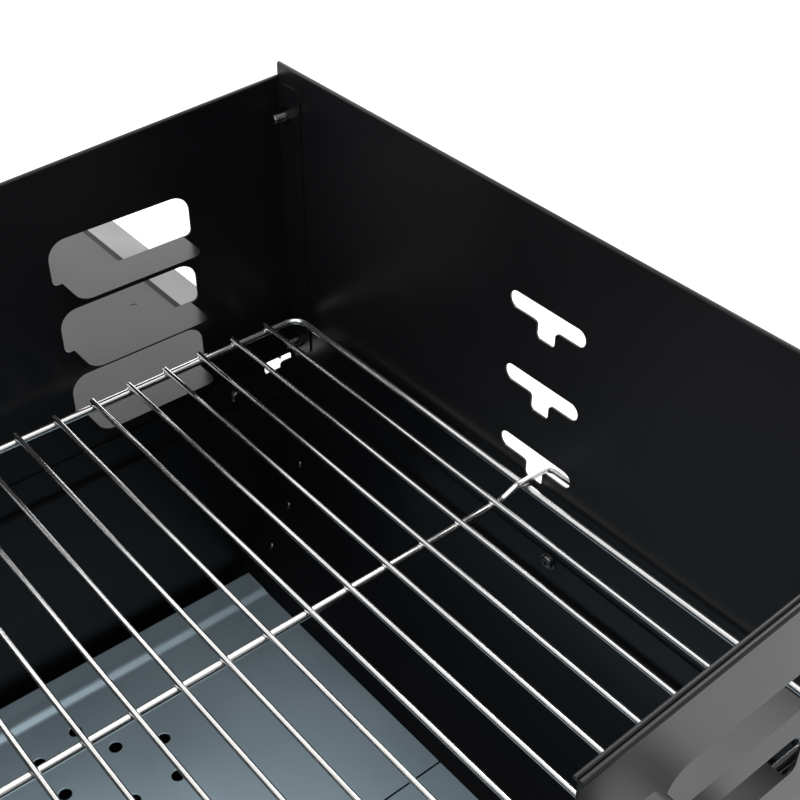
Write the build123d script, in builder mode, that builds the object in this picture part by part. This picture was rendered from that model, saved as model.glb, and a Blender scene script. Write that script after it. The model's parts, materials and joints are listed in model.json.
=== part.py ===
# Charcoal spit roaster on legs: half-barrel fire bowl with four bolted wind walls, a cooking
# grate hung by its cross bar in T-slots, charcoal trays, a side shelf, a cart frame on two
# wheels, a battery rotisserie motor and a spit with two forks, resting in the front hooks.
# Units are millimetres. +X is the motor and handle end, +Y the rear, +Z up.
# The origin is on the ground under the middle of the whole footprint.
import os
from math import atan2, cos, radians, sin, sqrt

from build123d import *

os.makedirs("parts", exist_ok=True)

# ---- overall sizes ----
box_len = 505.0          # fire box inside, along X
box_dep = 485.0          # fire box inside, front to rear
top_z = 1010.0           # top of the end walls at the rear corners, above the ground
shelf_reach = 300.0      # side shelf, out from the left wall
handle_reach = 128.0     # push handle, out from the right wall
grip_reach = 112.0       # grate grip, out from the front wall
rear_reach = 16.7        # the grate hook behind the rear wall
sheet = 1.2              # sheet steel thickness
fit = 0.1                # gap between pieces bolted or slipped together
clear = 0.3              # gap between pieces that move apart

box_x = (shelf_reach - handle_reach) / 2
box_y = (grip_reach - rear_reach) / 2


def from_left(d):
    """X of a plane d to the right of the left wall's inner face."""
    return box_x - box_len / 2 + d


def from_rear(d):
    """Y of a plane d in front of the rear wall's inner face."""
    return box_y + box_dep / 2 - d


def below_top(d):
    """Z of a level d under the end walls' rear top corner."""
    return top_z - d


# ---- wind walls ----
wall_bottom = 250.0      # all four walls end this far under top_z
wall_drop = 28.0         # the end walls slope down this much to the front
step_up = 9.0            # rear and front walls stand above the end walls by this
bead_r = 1.6             # rolled top edge
side_margin = 1.3        # rear and front walls reach past the end walls' inner faces
flange_w = 23.5
flange_top = 4.0
flange_bottom = 215.0

levels = 3
level_pitch = 52.3

louvre_w = 103.0
louvre_h = 30.8
louvre_base = 91.7       # bottom of the top louvre, under top_z
louvre_top_r = 13.0
louvre_low_r = 4.0
louvre_inset = 128.4     # louvre column centre, in from the rear and front walls
tab_len = 26.0
tab_w = 90.0
tab_r = 8.0

slot_w = 60.7
slot_h = 11.9
stem_w = 14.8
slot_off = 4.0           # T-slots and grate bar, right of the fire box's middle
stem_base = 74.2         # bottom of the top T-slot, under top_z
stem_h = 11.2
slot_r = 3.0

notch_w = 15.0           # spit notch in each end wall
spit_drop = 62.0         # spit axis under top_z when it is in the notches

bolt_d = 6.0
bolt_hole = bolt_d + 0.4
bolt_across = bolt_d + 4.0
bolt_heads = (24.0, 206.0)
front_bolts = (wall_drop + bolt_heads[0], bolt_heads[1])
bolt_in = 10.4           # corner bolts, in from the end walls
rim_screw_y = 55.0
rim_screw_z = 239.3
rim_screw_off = 25.0     # rear and front rim screws, right of the fire box's middle
rim_mid_z = 233.0

# ---- bowl ----
band_top = 228.0
band_bottom = 253.2
bowl_inset = 5.0         # joggle from the rim band in to the bowl
bowl_r = box_dep / 2 - bowl_inset
bowl_flange = 25.0       # end plate flange reaches this far in from the end wall
rivet_in = 20.5
rivet_r = 2.0
rivet_head_r = 3.2
rivet_step = 9.35
rivet_count = 17

bowl_y = from_rear(box_dep / 2)
bowl_z = below_top(band_bottom + sheet / 2)

# ---- charcoal trays ----
tray_z = 410.6           # tray top face under top_z
tray_end = 15.0          # outer edge, in from the end wall
tray_slack = 0.7196      # long edges, short of the barrel at their level
tray_gap = 1.2           # between the two trays
tray_fold = 27.0         # where the outer edge starts to rise
tray_edge_up = 2.6       # outer edge over the tray floor
border_up = 2.0          # flat border over the tray floor
border_end = 35.5        # inner end of the flat border
floor_start = 42.3       # foot of the slope from the border to the floor
vent_d = 9.3
vent_x = 116.0
vent_off = 14.1          # hole pattern, in front of the bowl's middle
vent_ring = 50.5
vent_inner = 28.0
tray_depth = tray_z - band_bottom + sheet / 2
tray_half = sqrt(bowl_r**2 - tray_depth**2) - tray_slack

# ---- cooking grate ----
frame_d = 5.5
rod_d = 3.5
bar_d = 5.0
weld = 0.3               # how deep crossing wires sink into each other
frame_in = 17.4
frame_rear = 5.8
frame_corner = 12.0
rod_pitch = 28.0
rod_first = 33.8
rod_last = 20.0          # least space between the last rod and the front wall
rod_count = 1 + int((box_dep - rod_first - rod_last) / rod_pitch)
rod_lap = 2.5
hook_run = 38.0
hook_r = 9.0

# ---- legs and shelf ----
tube_r = 12.5
tube_wall = 1.5
leg_off = tube_r + 3.0   # leg centre line, out from the end wall's inner face
leg_half = bowl_r - 67.5     # leg centre line, from the bowl's middle
bend_r = 50.0
handle_bend = 45.0
grip_len = 2 * (leg_half - handle_bend - 20.0)
shelf_z = 209.0
shelf_rear = 48.5        # flat top starts here, in from the rear and front walls
crest_rear = 46.0
crest_up = 3.0
rim_rear = 9.0           # long edges slope down from the crest to here
rim_down = 14.0
lower_shelf_z = 230.0
wheel_r = 75.0
wheel_w = 34.0
axle_r = 5.0
foot_h = 8.0

tube_z = below_top(shelf_z + sheet + fit) - tube_r
leg_x_left = from_left(-leg_off)
leg_x_right = from_left(box_len + leg_off)
leg_ys = (bowl_y + leg_half, bowl_y - leg_half)
leg_bolt_z = (below_top(285.0), below_top(385.0))

# ---- spit and motor ----
spit_half = 4.0          # half the spit's square section
rest_out = 58.0          # spit axis in the front hooks, out from the front wall
rest_z = below_top(130.0)
bush_groove_r = spit_half + 2.5
bush_r = bush_groove_r + 4.5
bush_groove_w = 3.0
bush_w = 16.0
fork_at = 125.0          # forks, either side of the spit's middle
motor_w = 76.0
motor_h = 72.0
motor_d = 60.0
motor_gap = 14.0         # motor case, out from the right wall's outer face

rest_y = from_rear(box_dep) - sheet - rest_out
spit_z = below_top(spit_drop)


def keep(part, label):
    part.label = label
    export_step(part, f"parts/{label}.step")


# Shapes cut in more than one wall
with BuildSketch() as louvre_hole:
    Rectangle(louvre_w, louvre_h, align=(Align.CENTER, Align.MIN))
    fillet(louvre_hole.vertices().group_by(Axis.Y)[-1], louvre_top_r)
    fillet(louvre_hole.vertices().group_by(Axis.Y)[0], louvre_low_r)

with BuildSketch() as t_slot:
    with Locations((0, stem_h)):
        SlotOverall(slot_w, slot_h, align=(Align.CENTER, Align.MIN))
    Rectangle(stem_w, stem_h + slot_h / 2, align=(Align.CENTER, Align.MIN))
    fillet(t_slot.vertices().group_by(Axis.Y)[0], slot_r)
    fillet(t_slot.vertices().filter_by(lambda v: abs(v.Y - stem_h) < 0.01 and abs(v.X) < stem_w), slot_r)

bar_x = box_x + slot_off
corner_xs = (from_left(bolt_in), from_left(box_len - bolt_in))
louvre_ys = (from_rear(louvre_inset), from_rear(box_dep - louvre_inset))
louvre_zs = [below_top(louvre_base + k * level_pitch) for k in range(levels)]
stem_zs = [below_top(stem_base + k * level_pitch) for k in range(levels)]


def end_wall(inner_x, out, small_holes):
    """End wall with its inner face at inner_x; out is -1 on the left, +1 on the right."""
    outer_x = inner_x + out * sheet
    low_x = min(inner_x, outer_x)
    bead_x = inner_x + out * bead_r
    slope = atan2(wall_drop, box_dep)
    with BuildPart() as wall:
        with BuildSketch(Plane.YZ.offset(low_x)):
            with BuildLine():
                Polyline(
                    (from_rear(0), below_top(wall_bottom)),
                    (from_rear(0), below_top(bead_r)),
                    (from_rear(box_dep), below_top(wall_drop + bead_r)),
                    (from_rear(box_dep), below_top(wall_bottom)),
                    close=True,
                )
            make_face()
        extrude(amount=sheet)
        edge = Plane(
            origin=(bead_x, from_rear(0), below_top(bead_r)),
            x_dir=(1, 0, 0),
            z_dir=(0, -cos(slope), -sin(slope)),
        )
        with BuildSketch(edge):
            Circle(bead_r)
        extrude(amount=box_dep / cos(slope) + 5)
        with Locations((bead_x, from_rear(box_dep), below_top(wall_drop))):
            Box(20, 20, 40, align=(Align.CENTER, Align.MAX, Align.CENTER), mode=Mode.SUBTRACT)
        with Locations((bead_x, from_rear(0), top_z)):
            Box(20, 20, 40, align=(Align.CENTER, Align.MIN, Align.CENTER), mode=Mode.SUBTRACT)
        # resting tabs, bent in along the bottom of each louvre
        for tab_z in louvre_zs:
            with BuildSketch(Plane.XY.offset(tab_z - sheet)):
                for tab_y in louvre_ys:
                    with BuildSketch(mode=Mode.PRIVATE) as tab:
                        Rectangle(tab_len + sheet, tab_w, align=(Align.MIN, Align.CENTER))
                        fillet(tab.vertices().group_by(Axis.X)[-1], tab_r)
                    turn = 0 if out < 0 else 180
                    with Locations(Location((outer_x, tab_y, 0), (0, 0, turn))):
                        add(tab.sketch)
            extrude(amount=sheet)
        # flanges on the rear and front walls
        flange_x = min(outer_x, inner_x - out * flange_w)
        for face_y, drop in ((from_rear(0), 0), (from_rear(box_dep - sheet), wall_drop)):
            with BuildSketch(mode=Mode.PRIVATE) as flange:
                tall = flange_bottom - flange_top - drop
                Rectangle(flange_w + sheet, tall, align=(Align.MIN, Align.MIN))
                fillet(flange.vertices().group_by(Axis.X)[-1 if out < 0 else 0], 7.0)
            with BuildSketch(Plane.XZ.offset(-face_y)):
                with Locations((flange_x, below_top(flange_bottom))):
                    add(flange.sketch)
            extrude(amount=sheet)
        # openings
        for base_z in louvre_zs:
            with BuildSketch(Plane.YZ.offset(low_x - 1)):
                with Locations(*[(y, base_z) for y in louvre_ys]):
                    add(louvre_hole.sketch)
            extrude(amount=sheet + 2, mode=Mode.SUBTRACT)
        with BuildSketch(Plane.YZ.offset(bead_x - 2 * bead_r)):
            with Locations((bowl_y, spit_z)):
                Circle(notch_w / 2)
                Rectangle(notch_w, spit_drop, align=(Align.CENTER, Align.MIN))
        extrude(amount=4 * bead_r, mode=Mode.SUBTRACT)
        # corner relief, bolt and screw holes
        with BuildSketch(Plane.YZ.offset(low_x - 1)):
            for side in (1, -1):
                with Locations((bowl_y + side * (box_dep / 2 - 14.5), below_top(230.2))):
                    RectangleRounded(25, 13.5, 3)
                with Locations((bowl_y + side * (box_dep / 2 - rim_screw_y), below_top(rim_screw_z))):
                    Circle(bolt_hole / 2)
            for spot in small_holes:
                with Locations(spot):
                    Circle(2.2)
        extrude(amount=sheet + 2, mode=Mode.SUBTRACT)
        with BuildSketch(Plane.XZ.offset(-from_rear(-5))):
            with Locations(*[(inner_x - out * bolt_in, below_top(d)) for d in bolt_heads]):
                Circle(bolt_hole / 2)
        extrude(amount=20, mode=Mode.SUBTRACT)
        with BuildSketch(Plane.XZ.offset(-from_rear(box_dep + 5))):
            with Locations(*[(inner_x - out * bolt_in, below_top(d)) for d in front_bolts]):
                Circle(bolt_hole / 2)
        extrude(amount=-20, mode=Mode.SUBTRACT)
    return wall


def cross_wall(inner_y, out, top_d, bolt_ds):
    """Rear (out = +1) or front (out = -1) wall with its T-slots; top_d is under top_z."""
    low_y = min(inner_y, inner_y + out * sheet)
    wide = box_len + 2 * side_margin
    left = from_left(-side_margin)
    with BuildPart() as wall:
        with BuildSketch(Plane.XZ.offset(-low_y - sheet)):
            with Locations((left, below_top(wall_bottom))):
                Rectangle(wide, wall_bottom - top_d - bead_r, align=(Align.MIN, Align.MIN))
            for base_z in stem_zs:
                with Locations((bar_x, base_z)):
                    add(t_slot.sketch, mode=Mode.SUBTRACT)
            for d in bolt_ds:
                with Locations(*[(x, below_top(d)) for x in corner_xs]):
                    Circle(bolt_hole / 2, mode=Mode.SUBTRACT)
            with Locations((box_x + rim_screw_off, below_top(rim_mid_z))):
                Circle(bolt_hole / 2, mode=Mode.SUBTRACT)
            if out < 0:
                with Locations(*rest_holes):
                    Circle(2.2, mode=Mode.SUBTRACT)
        extrude(amount=sheet)
        with BuildSketch(Plane.YZ.offset(left)):
            with Locations((inner_y + out * bead_r, below_top(top_d + bead_r))):
                Circle(bead_r)
        extrude(amount=wide)
    return wall


# Spit rests on the front wall: hole spots shared with the wall
rest_xs = (from_left(-sheet / 2), from_left(box_len + sheet / 2))
rest_hole_zs = (rest_z + 15.0, rest_z - 15.0)
rest_flange = 44.0
rest_hole_in = 34.0
rest_holes = [(x + s * rest_hole_in, z) for x, s in zip(rest_xs, (1, -1)) for z in rest_hole_zs]

left_wall = end_wall(from_left(0), -1, [])
keep(left_wall.part, "left_wall")

# The right wall also carries the motor bracket
bracket_z = below_top(118.0)
bracket_ys = (bowl_y - 26.0, bowl_y + 26.0)
right_wall = end_wall(from_left(box_len), 1, [(y, bracket_z) for y in bracket_ys])
keep(right_wall.part, "right_wall")

rear_wall = cross_wall(from_rear(0), 1, -step_up, bolt_heads)
keep(rear_wall.part, "rear_wall")
front_wall = cross_wall(from_rear(box_dep), -1, wall_drop - step_up, front_bolts)
keep(front_wall.part, "front_wall")

# Bowl: rim bands, joggles and the half barrel
rivet_angles = [90 + rivet_step * (k - (rivet_count - 1) / 2) for k in range(rivet_count)]

with BuildPart() as bowl_shell:
    arc_x = from_left(bowl_inset + fit)
    arc_len = box_len - 2 * (bowl_inset + fit)
    with BuildSketch(Plane.YZ.offset(arc_x)):
        with Locations((bowl_y, bowl_z)):
            Circle(bowl_r + sheet)
            Circle(bowl_r, mode=Mode.SUBTRACT)
            Rectangle(700, 400, align=(Align.CENTER, Align.MIN), mode=Mode.SUBTRACT)
        for side in (1, -1):
            with Locations((bowl_y + side * (box_dep / 2 - bowl_inset / 2), bowl_z)):
                Rectangle(bowl_inset, sheet)
    extrude(amount=arc_len)
    with BuildSketch(Plane.YZ.offset(from_left(0))):
        for side in (1, -1):
            with Locations((bowl_y + side * (box_dep / 2 - sheet / 2), bowl_z - sheet / 2)):
                Rectangle(sheet, band_bottom + sheet - band_top, align=(Align.CENTER, Align.MIN))
    extrude(amount=box_len)
    for face_y in (from_rear(-1), from_rear(box_dep - sheet - 1)):
        with BuildSketch(Plane.XZ.offset(-face_y)):
            with Locations((box_x + rim_screw_off, below_top(rim_mid_z))):
                Circle(bolt_hole / 2)
        extrude(amount=sheet + 2, mode=Mode.SUBTRACT)
    for angle in rivet_angles:
        for x in (rivet_in, box_len - rivet_in):
            with Locations(Location((from_left(x), bowl_y, bowl_z), (angle - 90, 0, 0))):
                with Locations((0, 0, -bowl_r)):
                    Cylinder(rivet_r + fit / 2, 8, mode=Mode.SUBTRACT)
keep(bowl_shell.part, "bowl_shell")


def bowl_end(inner_x, out):
    """Half-round end plate with its rim band and its flange inside the barrel."""
    flange_r = bowl_r - fit

    def span(a, b):
        """Low X and width of a layer from a to b, measured inwards."""
        ends = (inner_x - out * a, inner_x - out * b)
        return min(ends), abs(b - a)

    with BuildPart() as plate:
        low, width = span(bowl_inset - sheet, bowl_inset)
        with BuildSketch(Plane.YZ.offset(low)):
            with Locations((bowl_y, bowl_z)):
                Circle(bowl_r + sheet)
                Rectangle(700, 400, align=(Align.CENTER, Align.MIN), mode=Mode.SUBTRACT)
        extrude(amount=width)
        low, width = span(bowl_inset - sheet, bowl_flange)
        with BuildSketch(Plane.YZ.offset(low)):
            with Locations((bowl_y, bowl_z)):
                Circle(flange_r)
                Circle(flange_r - sheet, mode=Mode.SUBTRACT)
                Rectangle(700, 400 + sheet, align=(Align.CENTER, Align.MIN), mode=Mode.SUBTRACT)
                with Locations((0, -sheet)):
                    Rectangle(700, 400, align=(Align.CENTER, Align.MIN), mode=Mode.SUBTRACT)
        extrude(amount=width)
        low, width = span(0, bowl_inset)
        band_dep = box_dep - 2 * (sheet + fit)
        with BuildSketch(Plane.YZ.offset(low)):
            with Locations((bowl_y, bowl_z)):
                Rectangle(band_dep, sheet)
        extrude(amount=width)
        low, width = span(0, sheet)
        with BuildSketch(Plane.YZ.offset(low)):
            with Locations((bowl_y, bowl_z - sheet / 2)):
                Rectangle(band_dep, band_bottom + sheet - band_top, align=(Align.CENTER, Align.MIN))
            for side in (1, -1):
                with Locations((bowl_y + side * (box_dep / 2 - 20.0), below_top(band_top))):
                    Rectangle(14.0, 10.0, mode=Mode.SUBTRACT)
                with Locations((bowl_y + side * (box_dep / 2 - rim_screw_y), below_top(rim_screw_z))):
                    Circle(bolt_hole / 2, mode=Mode.SUBTRACT)
        extrude(amount=width)
        corners = plate.edges().filter_by(Axis.X).filter_by(
            lambda e: abs(e.center().Z - below_top(band_top)) < 0.1 and e.length < 2 * sheet
        )
        fillet(corners, 3.5)
        for angle in rivet_angles:
            with Locations(Location((inner_x - out * rivet_in, bowl_y, bowl_z), (angle - 90, 0, 0))):
                with Locations((0, 0, -bowl_r)):
                    Cylinder(rivet_r + fit / 2, 8, mode=Mode.SUBTRACT)
    return plate


bowl_end_left = bowl_end(from_left(0), -1)
keep(bowl_end_left.part, "bowl_end_left")
bowl_end_right = bowl_end(from_left(box_len), 1)
keep(bowl_end_right.part, "bowl_end_right")

# Rivets through the flanges and the barrel, heads inside and outside
with BuildPart() as bowl_rivets:
    inside = bowl_r - fit - sheet
    outside = bowl_r + sheet
    for angle in rivet_angles:
        for x in (rivet_in, box_len - rivet_in):
            with Locations(Location((from_left(x), bowl_y, bowl_z), (angle - 90, 0, 0))):
                with Locations((0, 0, -(inside + outside) / 2)):
                    Cylinder(rivet_r, outside - inside + 1.0)
                with Locations((0, 0, -inside + 0.8)):
                    Cone(rivet_head_r, rivet_r, 1.5)
                with Locations((0, 0, -outside - 0.75)):
                    Cone(rivet_r, rivet_head_r, 1.5)
keep(bowl_rivets.part, "bowl_rivets")


def hex_bolt(length, head_h=4.0, across=bolt_across, d=bolt_d):
    """Hex bolt along +Z: the head sits under z = 0 and the shank runs up."""
    with BuildPart(mode=Mode.PRIVATE) as bolt:
        with BuildSketch(Plane.XY.offset(-head_h)):
            RegularPolygon(across / 2, 6, major_radius=False)
        extrude(amount=head_h)
        chamfer(bolt.edges().group_by(Axis.Z)[0], 0.6)
        Cylinder(d / 2, length, align=(Align.CENTER, Align.CENTER, Align.MIN))
        chamfer(bolt.edges().group_by(Axis.Z)[-1], 0.6)
    return bolt.part


def hex_nut(across=bolt_across, height=5.0, d=bolt_d):
    """Nut along +Z with its lower face at z = 0."""
    with BuildPart(mode=Mode.PRIVATE) as nut:
        with BuildSketch():
            RegularPolygon(across / 2, 6, major_radius=False)
            Circle(d / 2 + fit / 2, mode=Mode.SUBTRACT)
        extrude(amount=height)
    return nut.part


def pan_screw(length, head_r=6.0, head_h=3.2, d=bolt_d):
    """Washer-head screw along +Z with a cross recess; the head sits under z = 0."""
    with BuildPart(mode=Mode.PRIVATE) as screw:
        Cylinder(head_r * 0.78, head_h, align=(Align.CENTER, Align.CENTER, Align.MAX))
        fillet(screw.edges().group_by(Axis.Z)[0], head_h * 0.55)
        Cylinder(head_r, head_h * 0.25, align=(Align.CENTER, Align.CENTER, Align.MAX))
        with Locations((0, 0, -head_h)):
            Box(head_r * 0.7, head_r * 0.17, head_h, mode=Mode.SUBTRACT)
            Box(head_r * 0.17, head_r * 0.7, head_h, mode=Mode.SUBTRACT)
        Cylinder(d / 2, length, align=(Align.CENTER, Align.CENTER, Align.MIN))
    return screw.part


def rod_of(spots, piece, label):
    """Copies of one piece at several places, kept as one node."""
    with BuildPart() as group:
        for spot in spots:
            add(piece.moved(spot))
    keep(group.part, label)


# Directions for fasteners: each turns +Z to the named axis
to_front = (90, 0, 0)
to_rear = (-90, 0, 0)
to_right = (0, 90, 0)
to_left = (0, -90, 0)

# Corner bolts from outside, nuts inside
rear_out = from_rear(-sheet)
front_out = from_rear(box_dep + sheet)
corner_spots = [Location((x, rear_out, below_top(d)), to_front) for x in corner_xs for d in bolt_heads]
corner_spots += [Location((x, front_out, below_top(d)), to_rear) for x in corner_xs for d in front_bolts]
rod_of(corner_spots, hex_bolt(2 * sheet + 5.0 + 7.0), "corner_bolts")
nut_spots = [Location((x, from_rear(sheet), below_top(d)), to_front) for x in corner_xs for d in bolt_heads]
nut_front = from_rear(box_dep - sheet)
nut_spots += [Location((x, nut_front, below_top(d)), to_rear) for x in corner_xs for d in front_bolts]
rod_of(nut_spots, hex_nut(height=3.2), "corner_nuts")

# Rim screws from inside the bowl's band, nuts outside
side_ys = (from_rear(rim_screw_y), from_rear(box_dep - rim_screw_y))
rim_z = below_top(rim_screw_z)
mid_z = below_top(rim_mid_z)
mid_x = box_x + rim_screw_off
rim_spots = [Location((from_left(sheet), y, rim_z), to_left) for y in side_ys]
rim_spots += [Location((from_left(box_len - sheet), y, rim_z), to_right) for y in side_ys]
rim_spots += [Location((mid_x, from_rear(sheet), mid_z), to_rear)]
rim_spots += [Location((mid_x, from_rear(box_dep - sheet), mid_z), to_front)]
rod_of(rim_spots, pan_screw(3 * sheet + 5.0 + 1.5), "rim_screws")
rim_nut_spots = [Location((from_left(-2 * sheet), y, rim_z), to_left) for y in side_ys]
rim_nut_spots += [Location((from_left(box_len + sheet), y, rim_z), to_right) for y in side_ys]
rim_nut_spots += [Location((mid_x, rear_out, mid_z), to_rear)]
rim_nut_spots += [Location((mid_x, front_out, mid_z), to_front)]
rod_of(rim_nut_spots, hex_nut(), "rim_nuts")


def charcoal_tray(near_x, turn):
    """Half tray: outer edge near_x, running inwards along turn (+1 or -1)."""
    half_len = (box_len - tray_gap) / 2 - tray_end
    top = below_top(tray_z)
    profile = [(0.0, tray_edge_up), (tray_fold - tray_end, border_up), (border_end - tray_end, border_up)]
    profile += [(floor_start - tray_end, 0.0), (half_len, 0.0)]
    upper = [(near_x + turn * d, top + up) for d, up in profile]
    lower = [(x, z - sheet) for x, z in reversed(upper)]
    with BuildPart() as tray:
        with BuildSketch(Plane.XZ.offset(-(bowl_y + tray_half))):
            with BuildLine():
                Polyline(*upper, *lower, close=True)
            make_face()
        extrude(amount=2 * tray_half)
        # ash and air holes
        with BuildSketch(Plane.XY.offset(top - 3)):
            with Locations((near_x + turn * (vent_x - tray_end), bowl_y - vent_off)):
                for third in range(3):
                    for lean in (-20, 20):
                        with PolarLocations(vent_ring, 1, start_angle=75 + lean + 120 * third):
                            Circle(vent_d / 2)
                    with PolarLocations(vent_inner, 1, start_angle=15 + 120 * third):
                        Circle(vent_d / 2)
        extrude(amount=6, mode=Mode.SUBTRACT)
    return tray


charcoal_tray_left = charcoal_tray(from_left(tray_end), 1)
keep(charcoal_tray_left.part, "charcoal_tray_left")
charcoal_tray_right = charcoal_tray(from_left(box_len - tray_end), -1)
keep(charcoal_tray_right.part, "charcoal_tray_right")

# Cooking grate: frame, rods on top of it, and the cross bar that hangs it in the T-slots
bar_z = stem_zs[-1] + clear + bar_d / 2
frame_z = bar_z - (frame_d + bar_d) / 2 + weld
rods_z = frame_z + (frame_d + rod_d) / 2 - weld
bar_low_z = rods_z - (rod_d + bar_d) / 2 + weld
grate_left = from_left(frame_in)
grate_right = from_left(box_len - frame_in)
grate_rear = from_rear(frame_rear)
grate_front = from_rear(box_dep - frame_rear)
grip_end = front_out - grip_reach + sheet

with BuildPart() as cooking_grate:
    with BuildSketch(Plane.XY.offset(frame_z), mode=Mode.PRIVATE) as ring:
        with Locations((box_x, bowl_y)):
            RectangleRounded(grate_right - grate_left, grate_rear - grate_front, frame_corner)
    ring_wire = ring.sketch.faces()[0].outer_wire()
    with BuildSketch(Plane(origin=ring_wire @ 0, z_dir=ring_wire % 0)):
        Circle(frame_d / 2)
    sweep(path=ring_wire)
    for k in range(rod_count):
        rod_y = from_rear(rod_first + k * rod_pitch)
        with Locations(Location(((grate_left + grate_right) / 2, rod_y, rods_z), (0, 90, 0))):
            Cylinder(rod_d / 2, grate_right - grate_left + 2 * rod_lap)
    with BuildLine() as bar_path:
        FilletPolyline(
            (bar_x, grip_end + 2, bar_z),
            (bar_x, grate_front + 8, bar_z),
            (bar_x, grate_front + 20, bar_low_z),
            (bar_x, grate_rear - 20, bar_low_z),
            (bar_x, grate_rear - 8, bar_z),
            (bar_x, rear_out + 13, bar_z),
            (bar_x + hook_run, rear_out + 13, bar_z),
            radius=6.0,
        )
    with BuildSketch(Plane(origin=(bar_x, grip_end + 2, bar_z), z_dir=(0, 1, 0))):
        Circle(bar_d / 2)
    sweep(path=bar_path.wires()[0])
keep(cooking_grate.part, "cooking_grate")

with BuildPart() as grate_grip:
    with BuildSketch(Plane.XZ.offset(-grip_end)):
        with Locations((bar_x, bar_z)):
            Circle(bar_d / 2 + 2.7)
    extrude(amount=-90)
    fillet(grate_grip.edges().filter_by(GeomType.CIRCLE), 2.0)
    with BuildSketch(Plane.XZ.offset(-grip_end)):
        with Locations((bar_x, bar_z)):
            Circle(bar_d / 2 + 0.05)
    extrude(amount=-91, mode=Mode.SUBTRACT)
keep(grate_grip.part, "grate_grip")

# Side shelf: plate with a low crest and sloping long edges, bolted to the left wall
shelf_in = from_left(-sheet)
shelf_out = from_left(-shelf_reach)
shelf_top = below_top(shelf_z)
shelf_front = box_dep - shelf_rear
shelf_bolt_x = (from_left(-110.0), from_left(50.0 - shelf_reach))
rim_profile = [(rim_rear, -rim_down - 6.0), (rim_rear, -rim_down)]
rim_profile += [(crest_rear, crest_up), (shelf_rear, 0.0)]
under_profile = [(shelf_rear + 0.4, -sheet), (crest_rear + 0.4, crest_up - sheet)]
under_profile += [(rim_rear + sheet, -rim_down - sheet), (rim_rear + sheet, -rim_down - 6.0)]
rear_rim = [(from_rear(d), shelf_top + up) for d, up in rim_profile]
front_rim = [(from_rear(box_dep - d), shelf_top + up) for d, up in reversed(rim_profile)]
front_under = [(from_rear(box_dep - d), shelf_top + up) for d, up in reversed(under_profile)]
rear_under = [(from_rear(d), shelf_top + up) for d, up in under_profile]

with BuildPart() as side_shelf:
    with BuildSketch(Plane.YZ.offset(shelf_out)):
        with BuildLine():
            Polyline(*rear_rim, *front_rim, *front_under, *rear_under, close=True)
        make_face()
    extrude(amount=shelf_reach - 4.0)
    with Locations((shelf_out, bowl_y, shelf_top)):
        Box(sheet, shelf_front - shelf_rear, 12.0, align=(Align.MIN, Align.CENTER, Align.MAX))
    with Locations((shelf_in, bowl_y, shelf_top)):
        Box(4.0, shelf_front - shelf_rear, sheet, align=(Align.MAX, Align.CENTER, Align.MAX))
    with Locations((shelf_in, bowl_y, shelf_top)):
        Box(
            sheet,
            shelf_front - shelf_rear,
            wall_bottom - shelf_z,
            align=(Align.MAX, Align.CENTER, Align.MAX),
        )
    with BuildSketch(Plane.YZ.offset(shelf_in - 2)):
        with Locations(*[(y, rim_z) for y in side_ys]):
            Circle(bolt_hole / 2)
    extrude(amount=3, mode=Mode.SUBTRACT)
    with BuildSketch(Plane.XY.offset(shelf_top - 3)):
        with Locations(*[(x, y) for x in shelf_bolt_x for y in leg_ys]):
            Circle(2.6)
    extrude(amount=4, mode=Mode.SUBTRACT)
keep(side_shelf.part, "side_shelf")

# Shelf screws from below, through the tubes and into the plate, flush with its top
shelf_screw_len = 2 * tube_r + 2 * fit + sheet - clear
shelf_spots = [Location((x, y, tube_z - tube_r - fit)) for x in shelf_bolt_x for y in leg_ys]
rod_of(shelf_spots, pan_screw(shelf_screw_len, head_r=4.6, head_h=2.6, d=5.0), "shelf_screws")


def tube(points, start_dir, radius, cross_holes):
    """Bent round tube along points, with cross holes given as (location, hole radius)."""
    with BuildPart() as bent:
        with BuildLine() as path:
            FilletPolyline(*points, radius=radius)
        with BuildSketch(Plane(origin=points[0], z_dir=start_dir)):
            Circle(tube_r)
            Circle(tube_r - tube_wall, mode=Mode.SUBTRACT)
        sweep(path=path.wires()[0])
        for spot, hole_r in cross_holes:
            with Locations(spot):
                Cylinder(hole_r, 60, mode=Mode.SUBTRACT)
    return bent


# Left legs: up from the axle, then bent out under the shelf
lower_screw_z = lower_shelf_z - 12.0
for leg_y, label in zip(leg_ys, ("leg_left_rear", "leg_left_front")):
    holes = [(Location((leg_x_left, leg_y, z), to_right), bolt_hole / 2) for z in leg_bolt_z]
    holes += [(Location((leg_x_left, leg_y, lower_screw_z), to_right), 2.6)]
    holes += [(Location((leg_x_left, leg_y, wheel_r), to_front), axle_r + fit)]
    holes += [(Location((x, leg_y, tube_z)), 2.6) for x in shelf_bolt_x]
    leg = tube(
        [(leg_x_left, leg_y, wheel_r - 22), (leg_x_left, leg_y, tube_z), (shelf_out + 12, leg_y, tube_z)],
        (0, 0, 1),
        bend_r,
        holes,
    )
    keep(leg.part, label)

# Right frame: both legs bend out and join as the push handle
handle_x = from_left(box_len + handle_reach) - tube_r
holes = []
for leg_y in leg_ys:
    holes += [(Location((leg_x_right, leg_y, z), to_right), bolt_hole / 2) for z in leg_bolt_z]
    holes += [(Location((leg_x_right, leg_y, lower_screw_z), to_right), 2.6)]
leg_frame_right = tube(
    [
        (leg_x_right, leg_ys[0], foot_h),
        (leg_x_right, leg_ys[0], tube_z),
        (handle_x, leg_ys[0], tube_z),
        (handle_x, leg_ys[1], tube_z),
        (leg_x_right, leg_ys[1], tube_z),
        (leg_x_right, leg_ys[1], foot_h),
    ],
    (0, 0, 1),
    handle_bend,
    holes,
)
keep(leg_frame_right.part, "leg_frame_right")

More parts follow.
